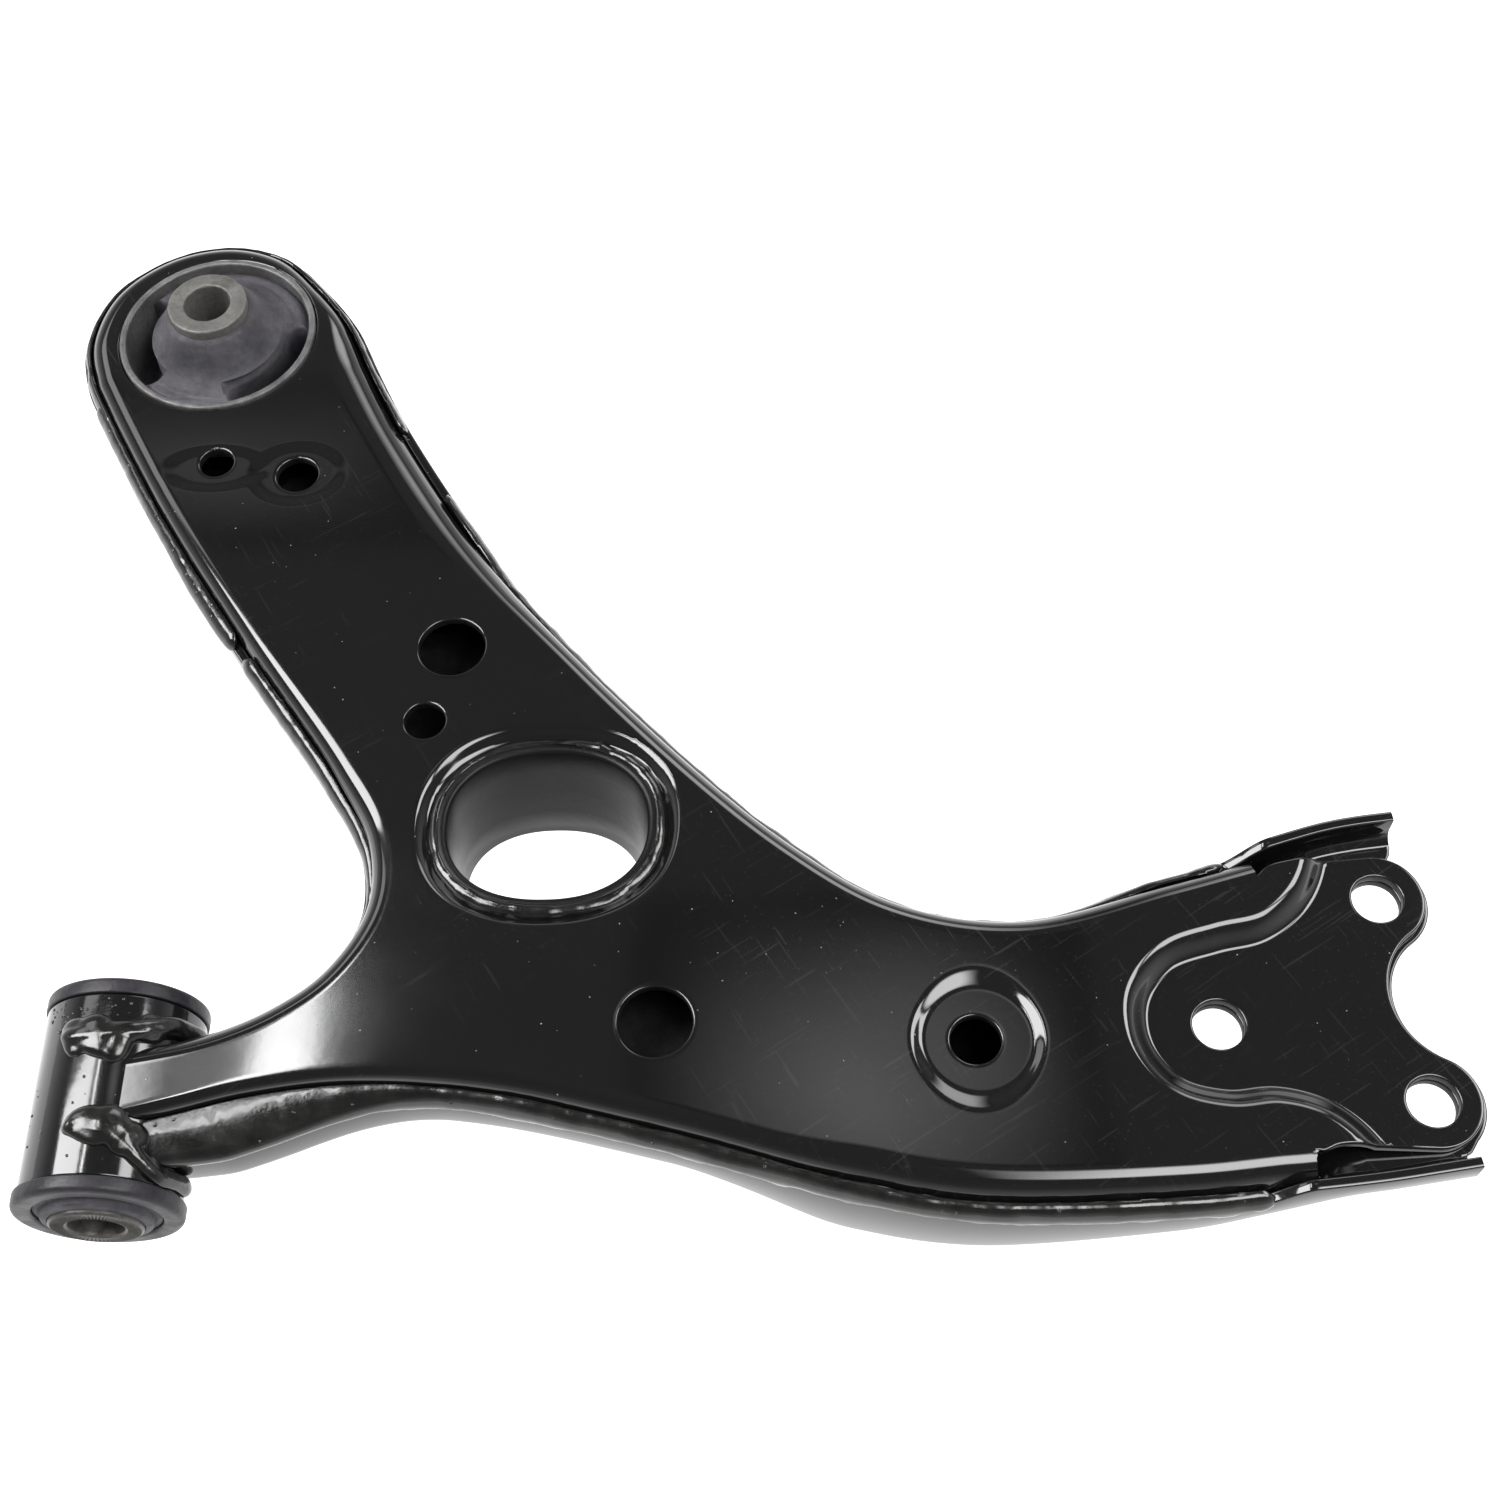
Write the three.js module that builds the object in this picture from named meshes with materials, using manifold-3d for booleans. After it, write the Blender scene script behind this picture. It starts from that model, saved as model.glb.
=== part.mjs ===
// Lower control arm of a front suspension: a pressed upper shell welded inside a pressed lower
// shell, a welded tube with a rubber bush at the front, a pressed-in rubber bush with an upright
// sleeve at the rear, and a doubled pad with three holes for the ball joint.
//
// Units are millimetres. While it is drawn, X points outboard to the ball joint, Y points rearward
// along the swing axis, and Z = 0 is the top face of the upper shell. The swing axis is the Y axis:
// it passes over the origin at the front bush. At the end the whole arm is moved so that its origin
// is at the bottom centre of its box.

import * as THREE from 'three';
import { mergeVertices } from 'three/addons/utils/BufferGeometryUtils.js';
import Module from 'manifold-3d';

const wasm = await Module();
wasm.setup();

// ---------------------------------------------------------------- driving dimensions

const SHEET = 3.0;              // thickness of both pressings and of the oval collar
const GAP = 0.3;                // air kept between neighbouring solids
const SHOULDER = 6.0;           // bend radius along the edge of the upper shell
const UPPER_WALL_END = -14;     // lower edge of the upper shell's side wall
const FLANGE_TOP = -7;          // upper edge of the lower shell's side wall
const PAD_DROP = 5.5;           // the ball joint pad lies this far below the upper shell's top
const LEDGE_HALF = 3.2;         // half the width of the ramp down to the pad
const PAD_UNDERSIDE = -PAD_DROP - 2 * SHEET - GAP;
const HOLLOW_RUN = 11;          // width of the lower shell's ramp up to the pad
const STEP = 9;                 // spacing of points along the pressed outlines

const BUSH_SPACING = 260;       // front bush centre to rear bush centre, along Y

const TUBE_AXIS_Z = -20;
const TUBE_R = 21.5;
const TUBE_WALL = 2.8;
const TUBE_HALF = 25.2;
const BUSH_HALF = 30;           // outer faces of the two end rings
const FRONT_RING_R = 22.6;
const REAR_RING_R = 22;
const FRONT_CAN_WALL = 1.5;
const FRONT_SLEEVE_R = 12.6;
const FRONT_SLEEVE_HALF = 32.8;
const FRONT_BORE_R = 7.25;
const FRONT_BORE_CHAMFER = 1.3;
const FRONT_BOSS_R = 14.7;
const FRONT_BOSS_HALF = 31.8;

const REAR_CAN_R = 32;
const REAR_CAN_WALL = 2.2;
const REAR_CAN_TOP = 1;
const REAR_CAN_BOTTOM = -30;
const REAR_SLEEVE_R = 12.65;
const REAR_BORE_R = 7.35;
const REAR_SLEEVE_TOP = 14.7;
const REAR_SLEEVE_BOTTOM = -40.7;
const BURR_DEPTH = 9;           // collar drawn round the rear bush hole in each pressing

const OVAL_CENTRE = [116.4, 76.5];
const OVAL_HALF = [28.5, 23.3]; // inside of the oval collar, at its top
const OVAL_POWER = 2.25;        // a little squarer than an ellipse
const COLLAR_TOP = -1.2;
const COLLAR_BOTTOM = -41;
const COLLAR_TAPER = [2.5, 2.5]; // the collar's bottom is this much smaller all round
const COLLAR_LEAN = [-2.0, -2.2]; // and its centre lies this far off the top's
const DISH_DEPTH = 3;           // the plate is pressed down round the collar's top
const DISH_RIM = 4.2;           // measured out from the collar
const DISH_FLAT = 2.5;
const FLOOR_LEVEL = -26.5;      // underside of the lower shell over most of the arm
const BOSS_LEVEL = -37.5;       // the lower shell is pressed down round the collar's bottom
const BOSS_FLAT = 3;            // measured out from the collar
const BOSS_RIM = 9.5;

const PAD_HOLE_R = 7;
const LOBE_R = 13;
const PAD_HOLES = { inner: [298.3, 14.8], rear: [346, 51.2], front: [351.4, -7.5] };
const NOTCH = { centre: [366.5, 23.5], r: 21.5 };
const LOWER_PAD_MARGIN = 1.6;    // the lower layer shows this far past the upper one

const PLATE_HOLES = [
  { at: [148.1, 15.5], r: 10.1 },
  { at: [85.5, 135.9], r: 9.9 },
  { at: [79.4, 110.4], r: 6.0 },
  { at: [32.3, 201.6], r: 6.5 },
  { at: [6.3, 206.9], r: 5.3 },
  { at: [233.0, 9.7], r: 6.8 },
];
const ROUND_SEAT = { at: [233.6, 9.7], rim: 18, flat: 14.5, depth: 1.5 };
const OVAL_SEAT = { at: [32.3, 201.8], rim: [16, 12.5], flat: [12.5, 9.5], depth: 1.0 };

// ---------------------------------------------------------------- outlines

const v2 = ([x, y]) => new THREE.Vector2(x, y);

// A smooth open line through a few points, resampled at an even spacing.
function smooth(points, spacing = STEP) {
  const curve = new THREE.CatmullRomCurve3(
    points.map(([x, y]) => new THREE.Vector3(x, y, 0)), false, 'centripetal');
  const count = Math.max(2, Math.round(curve.getLength() / spacing));
  return curve.getSpacedPoints(count).map((p) => new THREE.Vector2(p.x, p.y));
}

function arc([cx, cy], r, from, to, spacing = 5) {
  const sweep = THREE.MathUtils.degToRad(to - from);
  const count = Math.max(3, Math.ceil(Math.abs(sweep) * r / spacing));
  return Array.from({ length: count + 1 }, (_, i) => {
    const a = THREE.MathUtils.degToRad(from) + sweep * i / count;
    return new THREE.Vector2(cx + r * Math.cos(a), cy + r * Math.sin(a));
  });
}

function bearing([ax, ay], [bx, by]) {
  return THREE.MathUtils.radToDeg(Math.atan2(by - ay, bx - ax));
}

// The collar's inner outline at height z, grown by `grow`.
function oval(grow, z = COLLAR_TOP, count = 36) {
  const down = (COLLAR_TOP - z) / (COLLAR_TOP - COLLAR_BOTTOM);
  const square = (c) => Math.sign(c) * Math.abs(c) ** (2 / OVAL_POWER);
  return Array.from({ length: count }, (_, i) => {
    const a = 2 * Math.PI * i / count;
    const [x, y] = [square(Math.cos(a)), square(Math.sin(a))].map((part, k) => (
      OVAL_CENTRE[k] + COLLAR_LEAN[k] * down
      + (OVAL_HALF[k] + grow - COLLAR_TAPER[k] * down) * part));
    return new THREE.Vector2(x, y);
  });
}

function ellipse([cx, cy], [rx, ry], count = 28) {
  return Array.from({ length: count }, (_, i) => {
    const a = 2 * Math.PI * i / count;
    return new THREE.Vector2(cx + rx * Math.cos(a), cy + ry * Math.sin(a));
  });
}

// Unit normals on the right-hand side of a line, which is its outside when it runs anticlockwise.
function normalsOf(line, closed) {
  const n = line.length;
  return line.map((p, i) => {
    const before = line[closed ? (i + n - 1) % n : Math.max(i - 1, 0)];
    const after = line[closed ? (i + 1) % n : Math.min(i + 1, n - 1)];
    const t = after.clone().sub(before).normalize();
    return new THREE.Vector2(t.y, -t.x);
  });
}

// Moves a line sideways; the distance may be a function of the point.
function pushOut(line, distance, closed = false) {
  const reach = typeof distance === 'function' ? distance : () => distance;
  return normalsOf(line, closed).map((n, i) => line[i].clone().addScaledVector(n, reach(line[i])));
}

const smoothstep = THREE.MathUtils.smoothstep;

// The upper shell's wall in four stretches, anticlockwise seen from above.
const FRONT_EDGE = smooth([
  [-1, -12.6], [22, -7], [40, -2.6], [66, 0.5], [100, -1.7], [150, -13.2], [200, -27.5],
  [232, -33.2], [285, -32.8], [311, -30.4]]);
const OUTER_EDGE = smooth([
  [311, 62], [288, 55.6], [247, 45.4], [214, 51.4], [185, 70.2], [142, 111.8], [96, 167],
  [63, 220.2], [50.2, 246.2]]);
const REAR_END = smooth([[47.4, 252.6], [41.6, 265.2], [30.8, 280.6], [16.4, 295.4], [-1, 300.7],
  [-20.8, 296], [-37, 281], [-42.4, 260.4], [-38.6, 243.2]]);
const INNER_EDGE = smooth([
  [-35.3, 236], [-9.3, 189], [22.3, 140.2], [53.6, 94.8], [65.6, 72.6], [66.8, 52], [57.4, 33.8],
  [44.6, 23.2], [27.4, 15.4], [-1, 9.7]]);

// Beyond the pad, and inside the front tube, the pan is only a blank that is trimmed away.
const PAN_END = smooth([[330, -27.5], [372, -24], [378, 22], [372, 74], [332, 68]], 20);
const NECK_END = [[-5.5, 5], [-5.5, -8]].map(v2);
const PAN = [...FRONT_EDGE, ...PAN_END, ...OUTER_EDGE, ...REAR_END, ...INNER_EDGE, ...NECK_END];

// The two lobes round the outer holes, with the half-round notch between them.
function padLobes(margin) {
  const { rear, front } = PAD_HOLES;
  const { centre, r } = NOTCH;
  const frontTurn = bearing(front, centre);
  const rearTurn = bearing(rear, centre);
  return [
    ...arc(front, LOBE_R + margin, -90 + 45 * (margin > 0), frontTurn),
    ...arc(centre, r - margin, frontTurn + 180, rearTurn + 180).slice(1, -1),
    ...arc(rear, LOBE_R + margin, rearTurn, 90 - 25 * (margin > 0)),
  ];
}

// Everything of the pan that is kept: the pad's own edge, and the two relief notches beside it.
const UPPER_TRIM = [
  ...[[-90, -90], [318, -90], [318, -27], [320, -23.4], [324, -21.3], [334, -20.9]].map(v2),
  ...padLobes(0),
  ...[[335, 63.3], [323, 61.6], [316, 59.9], [312.4, 61], [311, 64], [311, 120], [-90, 400]].map(v2),
];

// The centre line of the ramp that steps down to the pad, from the rear edge to the front edge.
const LEDGE = smooth([
  [333, 84], [329.5, 62], [323.5, 50.5], [313, 42], [300, 38.8], [285.5, 33.5], [276.8, 21.5],
  [277, 8], [285, -3], [298, -7], [311, -6.3], [323, -10], [331.5, -17.5], [337, -28], [339, -46]], 5);

// ---------------------------------------------------------------- solids

function solid(geometry) {
  geometry.deleteAttribute('normal');
  geometry.deleteAttribute('uv');
  const merged = mergeVertices(geometry, 1e-4);
  return new wasm.Manifold(new wasm.Mesh({
    numProp: 3,
    vertProperties: new Float32Array(merged.attributes.position.array),
    triVerts: new Uint32Array(merged.index.array),
  }));
}

function prism(outline, low, high) {
  const geometry = new THREE.ExtrudeGeometry(new THREE.Shape(outline), {
    depth: high - low, bevelEnabled: false,
  });
  return solid(geometry.translate(0, 0, low));
}

// A closed skin over rings with equal numbers of points: [[outline, z], ...] from low to high.
function loft(rings) {
  const n = rings[0][0].length;
  const vertices = rings.flatMap(([outline, z]) => outline.flatMap((p) => [p.x, p.y, z]));
  const index = [];
  for (let k = 0; k + 1 < rings.length; k++) {
    for (let i = 0; i < n; i++) {
      const a = k * n + i;
      const b = k * n + (i + 1) % n;
      index.push(a, b, b + n, a, b + n, a + n);
    }
  }
  const top = (rings.length - 1) * n;
  for (const [a, b, c] of THREE.ShapeUtils.triangulateShape(rings[0][0], [])) {
    index.push(c, b, a);
  }
  for (const [a, b, c] of THREE.ShapeUtils.triangulateShape(rings.at(-1)[0], [])) {
    index.push(top + a, top + b, top + c);
  }
  return solid(indexed(vertices, index));
}

function indexed(vertices, index) {
  const geometry = new THREE.BufferGeometry();
  geometry.setAttribute('position', new THREE.Float32BufferAttribute(vertices, 3));
  geometry.setIndex(index);
  return geometry;
}

// A closed section carried along stations: each station is a list of 3-D points, clockwise when
// looked at along the direction of travel. A closed sweep joins its last station to the first.
function sweep(stations, closed = false) {
  const n = stations[0].length;
  const vertices = stations.flatMap((section) => section.flatMap((p) => [p.x, p.y, p.z]));
  const index = [];
  const spans = closed ? stations.length : stations.length - 1;
  for (let k = 0; k < spans; k++) {
    const here = k * n;
    const next = ((k + 1) % stations.length) * n;
    for (let i = 0; i < n; i++) {
      const j = (i + 1) % n;
      index.push(here + i, next + j, next + i, here + i, here + j, next + j);
    }
  }
  if (!closed) {
    const flat = (section) => {
      const origin = section[0];
      const across = section[1].clone().sub(origin).normalize();
      const away = section.at(-1).clone().sub(origin);
      const up = away.clone().addScaledVector(across, -away.dot(across)).normalize();
      return section.map((p) => {
        const d = p.clone().sub(origin);
        return new THREE.Vector2(d.dot(across), d.dot(up));
      });
    };
    const last = (stations.length - 1) * n;
    for (const [a, b, c] of THREE.ShapeUtils.triangulateShape(flat(stations[0]), [])) {
      index.push(c, b, a);
    }
    for (const [a, b, c] of THREE.ShapeUtils.triangulateShape(flat(stations.at(-1)), [])) {
      index.push(last + a, last + b, last + c);
    }
  }
  return solid(indexed(vertices, index));
}

// A ring or sleeve from its closed profile [[radius, height], ...], turned about Z.
function turned(profile, segments = 40) {
  const points = [...profile, profile[0]].map(v2);
  return solid(new THREE.LatheGeometry(points, segments).rotateX(Math.PI / 2));
}

const upright = (body, [x, y]) => body.translate([x, y, 0]);

// Lays a body turned about Z along the swing axis: its +Z becomes +Y.
const alongAxis = (body) => body.rotate([-90, 0, 0]).translate([0, 0, TUBE_AXIS_Z]);

function rod(r, low, high, segments = 32) {
  const geometry = new THREE.CylinderGeometry(r, r, high - low, segments);
  return solid(geometry.rotateX(Math.PI / 2).translate(0, 0, (low + high) / 2));
}

const drill = ([x, y], r, segments) => rod(r, -60, 20, segments).translate([x, y, 0]);

function pipe(inner, outer, low, high, segments = 40) {
  return turned([[inner, low], [outer, low], [outer, high], [inner, high]], segments);
}

// ---------------------------------------------------------------- pressings

const tubeClearance = () => alongAxis(rod(TUBE_R + GAP, -70, 70, 64));

// What lies outboard of the ledge, moved `shift` towards the main plate.
const beyondLedge = (shift) => [...pushOut(LEDGE, shift), ...[[430, -46], [430, 84]].map(v2)];

// The pocket above the pad, with sloped sides along the ledge.
function padPocket() {
  const top = beyondLedge(LEDGE_HALF);
  return loft([[beyondLedge(-LEDGE_HALF), -PAD_DROP], [top, 0], [top, 8]]);
}

// The lower shell is pressed up to meet the pad: this is the hollow below it.
function padHollow() {
  const pad = beyondLedge(0);
  return loft([[beyondLedge(HOLLOW_RUN), -60], [beyondLedge(HOLLOW_RUN), -32], [pad, PAD_UNDERSIDE]]);
}

function dish(rim, flat, depth) {
  return loft([[flat, -depth], [rim, 0], [rim, 8]]);
}

function upperShell() {
  // Rings of a quarter-round bend of radius r, whose wall is `inset` inside the pan's outline.
  const bend = (r, inset, degrees) => degrees.map((a) => {
    const turn = THREE.MathUtils.degToRad(a);
    return [pushOut(PAN, -inset - r * (1 - Math.cos(turn)), true), r * Math.sin(turn) - SHOULDER];
  });
  const outside = loft([[PAN, UPPER_WALL_END], ...bend(SHOULDER, 0, [0, 30, 60, 90])]);
  const inside = loft([
    [pushOut(PAN, -SHEET, true), UPPER_WALL_END - 1], ...bend(SHOULDER - SHEET, SHEET, [0, 90])]);
  const dents = padPocket()
    .add(dish(oval(SHEET + DISH_RIM), oval(SHEET + DISH_FLAT), DISH_DEPTH))
    .add(dish(ellipse(ROUND_SEAT.at, [ROUND_SEAT.rim, ROUND_SEAT.rim]),
      ellipse(ROUND_SEAT.at, [ROUND_SEAT.flat, ROUND_SEAT.flat]), ROUND_SEAT.depth))
    .add(dish(ellipse(OVAL_SEAT.at, OVAL_SEAT.rim), ellipse(OVAL_SEAT.at, OVAL_SEAT.flat),
      OVAL_SEAT.depth));
  let shell = outside.subtract(dents).subtract(inside.subtract(dents.translate([0, 0, -SHEET])));
  const burr = pipe(REAR_CAN_R - 1, REAR_CAN_R + GAP + SHEET, -SHEET - BURR_DEPTH, -1);
  shell = shell.add(upright(burr, [0, BUSH_SPACING]));
  shell = shell.intersect(prism(UPPER_TRIM, -40, 20));
  shell = shell.intersect(aboveKeel(SHEET + 0.8 * GAP, [[430, 20], [-90, 20]]));
  shell = shell.subtract(drill([0, BUSH_SPACING], REAR_CAN_R + GAP, 64));
  shell = shell.subtract(loft([[oval(SHEET + GAP, -40), -40], [oval(SHEET + GAP, 20), 20]]));
  for (const { at, r } of PLATE_HOLES) {
    shell = shell.subtract(drill(at, r, 24));
  }
  for (const at of Object.values(PAD_HOLES)) {
    shell = shell.subtract(drill(at, PAD_HOLE_R, 24));
  }
  return shell.subtract(tubeClearance());
}

// The underside of the lower shell, seen from the side: it is deepest outboard of the collar and
// rises to the pad.
const KEEL = [
  [-90, FLOOR_LEVEL], [60, FLOOR_LEVEL + 0.5], [158, FLOOR_LEVEL + 2], [174, -29], [196, -39],
  [214, -38.6], [235, -36.4], [262, -31.2], [290, -26.2], [310, -18.8], [326, PAD_UNDERSIDE],
  [430, PAD_UNDERSIDE]];

// Next to the front tube the lower shell's front wall flares away from the upper shell.
const NECK_FLARE = 10.4;
const neckFlare = (p) => NECK_FLARE * (1 - smoothstep(p.x, 30, 92))
  * (0.75 + 0.25 * smoothstep(p.x, 12, 34));

function aboveKeel(lift, ceiling) {
  const section = [...KEEL.map(([x, z]) => [x, z + lift]), ...ceiling].map(v2);
  const geometry = new THREE.ExtrudeGeometry(new THREE.Shape(section), {
    depth: 520, bevelEnabled: false,
  });
  return solid(geometry.rotateX(Math.PI / 2).translate(0, 400, 0));
}

// Outline of the lower shell's wall, grown from the upper shell's; `skin` is measured outward
// from the inner face of that wall.
function lowerStretches(skin) {
  const reach = GAP + skin;
  return {
    front: pushOut(FRONT_EDGE, (p) => reach + neckFlare(p)),
    rest: [OUTER_EDGE, REAR_END, INNER_EDGE].flatMap((line) => pushOut(line, reach)),
  };
}

// The boss round the collar's bottom; `lift` and `inset` turn its outside into its inside.
function collarBoss(lift, inset) {
  const rings = [[BOSS_FLAT, BOSS_LEVEL], [BOSS_RIM, FLOOR_LEVEL + 2], [BOSS_RIM, FLOOR_LEVEL + 4]];
  return loft(rings.map(([grow, z]) => [oval(SHEET + grow - inset, z), z + lift]));
}

function lowerShell() {
  const outer = lowerStretches(SHEET);
  const inner = lowerStretches(0);
  const frontFlangeEnd = [[335, -31.2], [360.5, -27.4], [360.3, -20.8]].map(v2);
  const rearFlangeEnd = [[353.6, 66.6], [352, 69.5], [352, 74], [331, 70]].map(v2);
  const outline = [
    ...outer.front, ...frontFlangeEnd, ...padLobes(LOWER_PAD_MARGIN), ...rearFlangeEnd,
    ...outer.rest];
  const cavity = [
    ...inner.front, ...[[335, -28.2], [430, -14.5], [430, 86.6], [331, 67]].map(v2), ...inner.rest];
  const flangeLine = [[430, 0.8], [316, 0.8], [304, FLANGE_TOP], [-90, FLANGE_TOP]];
  const bossInset = SHEET * Math.tan(0.5 * Math.atan2(FLOOR_LEVEL - BOSS_LEVEL, BOSS_RIM - BOSS_FLAT));
  const body = prism(outline, -60, 10).intersect(aboveKeel(0, flangeLine))
    .add(collarBoss(0, 0));
  const space = prism(cavity, -60, 10).intersect(aboveKeel(SHEET, [[430, 20], [-90, 20]]))
    .add(collarBoss(SHEET, bossInset));
  let shell = body.subtract(padHollow())
    .subtract(space.subtract(padHollow().translate([0, 0, SHEET])));
  const burr = pipe(REAR_CAN_R - 1, REAR_CAN_R + GAP + SHEET, FLOOR_LEVEL + 1,
    FLOOR_LEVEL + BURR_DEPTH);
  shell = shell.add(upright(burr, [0, BUSH_SPACING]));
  shell = shell.subtract(drill([0, BUSH_SPACING], REAR_CAN_R + GAP, 64));
  shell = shell.subtract(loft([[oval(SHEET + GAP, -60), -60], [oval(SHEET + GAP, 20), 20]]));
  for (const at of Object.values(PAD_HOLES)) {
    shell = shell.subtract(drill(at, PAD_HOLE_R, 24));
  }
  return shell.subtract(tubeClearance());
}

function ovalCollar() {
  const tapered = (grow, low, high) => loft([[oval(grow, low), low], [oval(grow, high), high]]);
  return tapered(SHEET, COLLAR_BOTTOM, COLLAR_TOP).subtract(tapered(0, -60, 20));
}

// ---------------------------------------------------------------- welds

// A fillet laid over the lower shell's flange, against the upper shell's wall. The section is
// given as [distance out from the upper wall, height].
function edgeWeld(line, flare = () => 0) {
  const edge = SHEET + 2 * GAP;
  const normals = normalsOf(line, false);
  const stations = line.map((p, i) => {
    const wide = edge + flare(p);
    const section = [
      [GAP, FLANGE_TOP + GAP], [GAP, FLANGE_TOP + 3.2], [0.5 * wide, FLANGE_TOP + 2.9],
      [wide, FLANGE_TOP + 1.2], [wide + 1, FLANGE_TOP - 1.2], [wide + 0.1, FLANGE_TOP - 2],
      [wide, FLANGE_TOP + GAP]];
    return section.map(([out, z]) => {
      const q = p.clone().addScaledVector(normals[i], out);
      return new THREE.Vector3(q.x, q.y, z);
    });
  });
  return sweep(stations);
}

function collarWeld(base, side) {
  const ring = oval(SHEET, base);
  const normals = normalsOf(ring, true);
  const section = [[GAP + 0.2, 0], [2.0, 0], [1.8, 1.3], [GAP + 0.2, 1.8]];
  const ordered = side > 0 ? [...section].reverse() : section;
  const stations = ring.map((p, i) => ordered.map(([out, up]) => {
    const q = p.clone().addScaledVector(normals[i], out);
    return new THREE.Vector3(q.x, q.y, base + side * up);
  }));
  return sweep(stations, true);
}

// A bead laid on the tube along [degrees round from the top, y] points.
function tubeWeld(route) {
  const half = 1.6;
  const height = 2.8;
  const curve = new THREE.CatmullRomCurve3(route.map(([degrees, y]) => {
    const a = THREE.MathUtils.degToRad(degrees);
    return new THREE.Vector3(TUBE_R * Math.sin(a), y, TUBE_R * Math.cos(a));
  }));
  const count = 14;
  const stations = curve.getSpacedPoints(count).map((p, i) => {
    const up = new THREE.Vector3(p.x, 0, p.z).normalize();
    const right = curve.getTangentAt(i / count).cross(up).normalize();
    const foot = up.clone().multiplyScalar(TUBE_R).add(new THREE.Vector3(0, p.y, TUBE_AXIS_Z));
    const full = i === 0 || i === count ? 0.55 : 1;
    const section = [[-half, GAP + 0.1], [-0.6 * half, height], [0.6 * half, height],
      [half, GAP + 0.1]];
    return section.map(([side, rise]) => foot.clone()
      .addScaledVector(right, side * full).addScaledVector(up, GAP + (rise - GAP) * full));
  });
  return sweep(stations);
}

// ---------------------------------------------------------------- bushes

const frontCanInner = TUBE_R - TUBE_WALL - GAP - FRONT_CAN_WALL;

function frontCan() {
  const r = TUBE_R - TUBE_WALL - GAP;
  const inner = frontCanInner;
  const back = -TUBE_HALF - GAP;
  return alongAxis(turned([
    [inner, -BUSH_HALF], [FRONT_RING_R - 1.4, -BUSH_HALF], [FRONT_RING_R - 0.4, -BUSH_HALF + 0.4],
    [FRONT_RING_R, -BUSH_HALF + 1.4], [FRONT_RING_R, back], [r, back], [r, BUSH_HALF - 0.5],
    [inner, BUSH_HALF - 0.5]]));
}

function frontRearRing() {
  return alongAxis(turned([
    [TUBE_R - TUBE_WALL, TUBE_HALF + GAP], [REAR_RING_R, TUBE_HALF + GAP],
    [REAR_RING_R, BUSH_HALF - 1.2], [REAR_RING_R - 1.2, BUSH_HALF],
    [TUBE_R - TUBE_WALL, BUSH_HALF]]));
}

function frontRubber() {
  const outer = frontCanInner - GAP;
  const inner = FRONT_SLEEVE_R + GAP;
  const face = BUSH_HALF - 1;
  return alongAxis(turned([
    [inner, -FRONT_BOSS_HALF], [FRONT_BOSS_R, -FRONT_BOSS_HALF + 0.6], [FRONT_BOSS_R + 0.6, -face],
    [outer, -face], [outer, face], [FRONT_BOSS_R + 0.6, face],
    [FRONT_BOSS_R, FRONT_BOSS_HALF - 0.6], [inner, FRONT_BOSS_HALF]]));
}

function sleeve(bore, r, low, high, chamfer) {
  return turned([
    [bore + chamfer, low], [r - 0.6, low], [r, low + 0.6], [r, high - 0.6], [r - 0.6, high],
    [bore + chamfer, high], [bore, high - chamfer], [bore, low + chamfer]]);
}

// The rear rubber is a cone that climbs from the outer sleeve to the upright inner sleeve, with
// two kidney-shaped slots right through it beside the sleeve.
function rearRubber() {
  const outer = REAR_CAN_R - REAR_CAN_WALL - GAP;
  const inner = REAR_SLEEVE_R + GAP;
  const cone = turned([
    [inner, -34], [inner + 3, -33.5], [19, -27], [outer - 4, -24], [outer, -23], [outer, -4.5],
    [outer - 3.5, -2.5], [23.5, -0.5], [18.5, 4.5], [inner + 2, 10.5], [inner, 11.5]]);
  const kidney = (from, to) => prism(
    [...arc([0, 0], 27.6, from, to), ...arc([0, 0], 21.8, to, from)], -60, 20);
  return upright(cone.subtract(kidney(158, 215)).subtract(kidney(-68, -5)), [0, BUSH_SPACING]);
}

// ---------------------------------------------------------------- assembly

const PAINT = { color: 0x0c0c0d, roughness: 0.22, metalness: 0.1 };
const WELD = { color: 0x121213, roughness: 0.3, metalness: 0.1 };
const STEEL = { color: 0x7d776f, roughness: 0.5, metalness: 0.8 };
const COATED_RING = { color: 0x3c3b3d, roughness: 0.55, metalness: 0.3 };
const RUBBER = { color: 0x37353a, roughness: 0.75, metalness: 0 };

const arm = new THREE.Group();

function place(name, body, look) {
  const { numProp, vertProperties, triVerts } = body.getMesh();
  const positions = new Float32Array(triVerts.length * 3);
  for (let i = 0; i < triVerts.length; i++) {
    positions.set(vertProperties.subarray(triVerts[i] * numProp, triVerts[i] * numProp + 3), i * 3);
  }
  const geometry = new THREE.BufferGeometry();
  geometry.setAttribute('position', new THREE.BufferAttribute(positions, 3));
  geometry.computeVertexNormals();
  const mesh = new THREE.Mesh(geometry, new THREE.MeshStandardMaterial(look));
  mesh.name = name;
  arm.add(mesh);
}

place('upper_shell', upperShell(), PAINT);
place('lower_shell', lowerShell(), PAINT);
place('oval_collar', ovalCollar(), PAINT);

place('front_bush_tube',
  alongAxis(pipe(TUBE_R - TUBE_WALL, TUBE_R, -TUBE_HALF, TUBE_HALF, 64)), PAINT);
place('front_bush_outer_sleeve', frontCan(), COATED_RING);
place('front_bush_rear_ring', frontRearRing(), COATED_RING);
place('front_bush_rubber', frontRubber(), RUBBER);
place('front_bush_inner_sleeve', alongAxis(sleeve(
  FRONT_BORE_R, FRONT_SLEEVE_R, -FRONT_SLEEVE_HALF, FRONT_SLEEVE_HALF, FRONT_BORE_CHAMFER)), STEEL);

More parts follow.
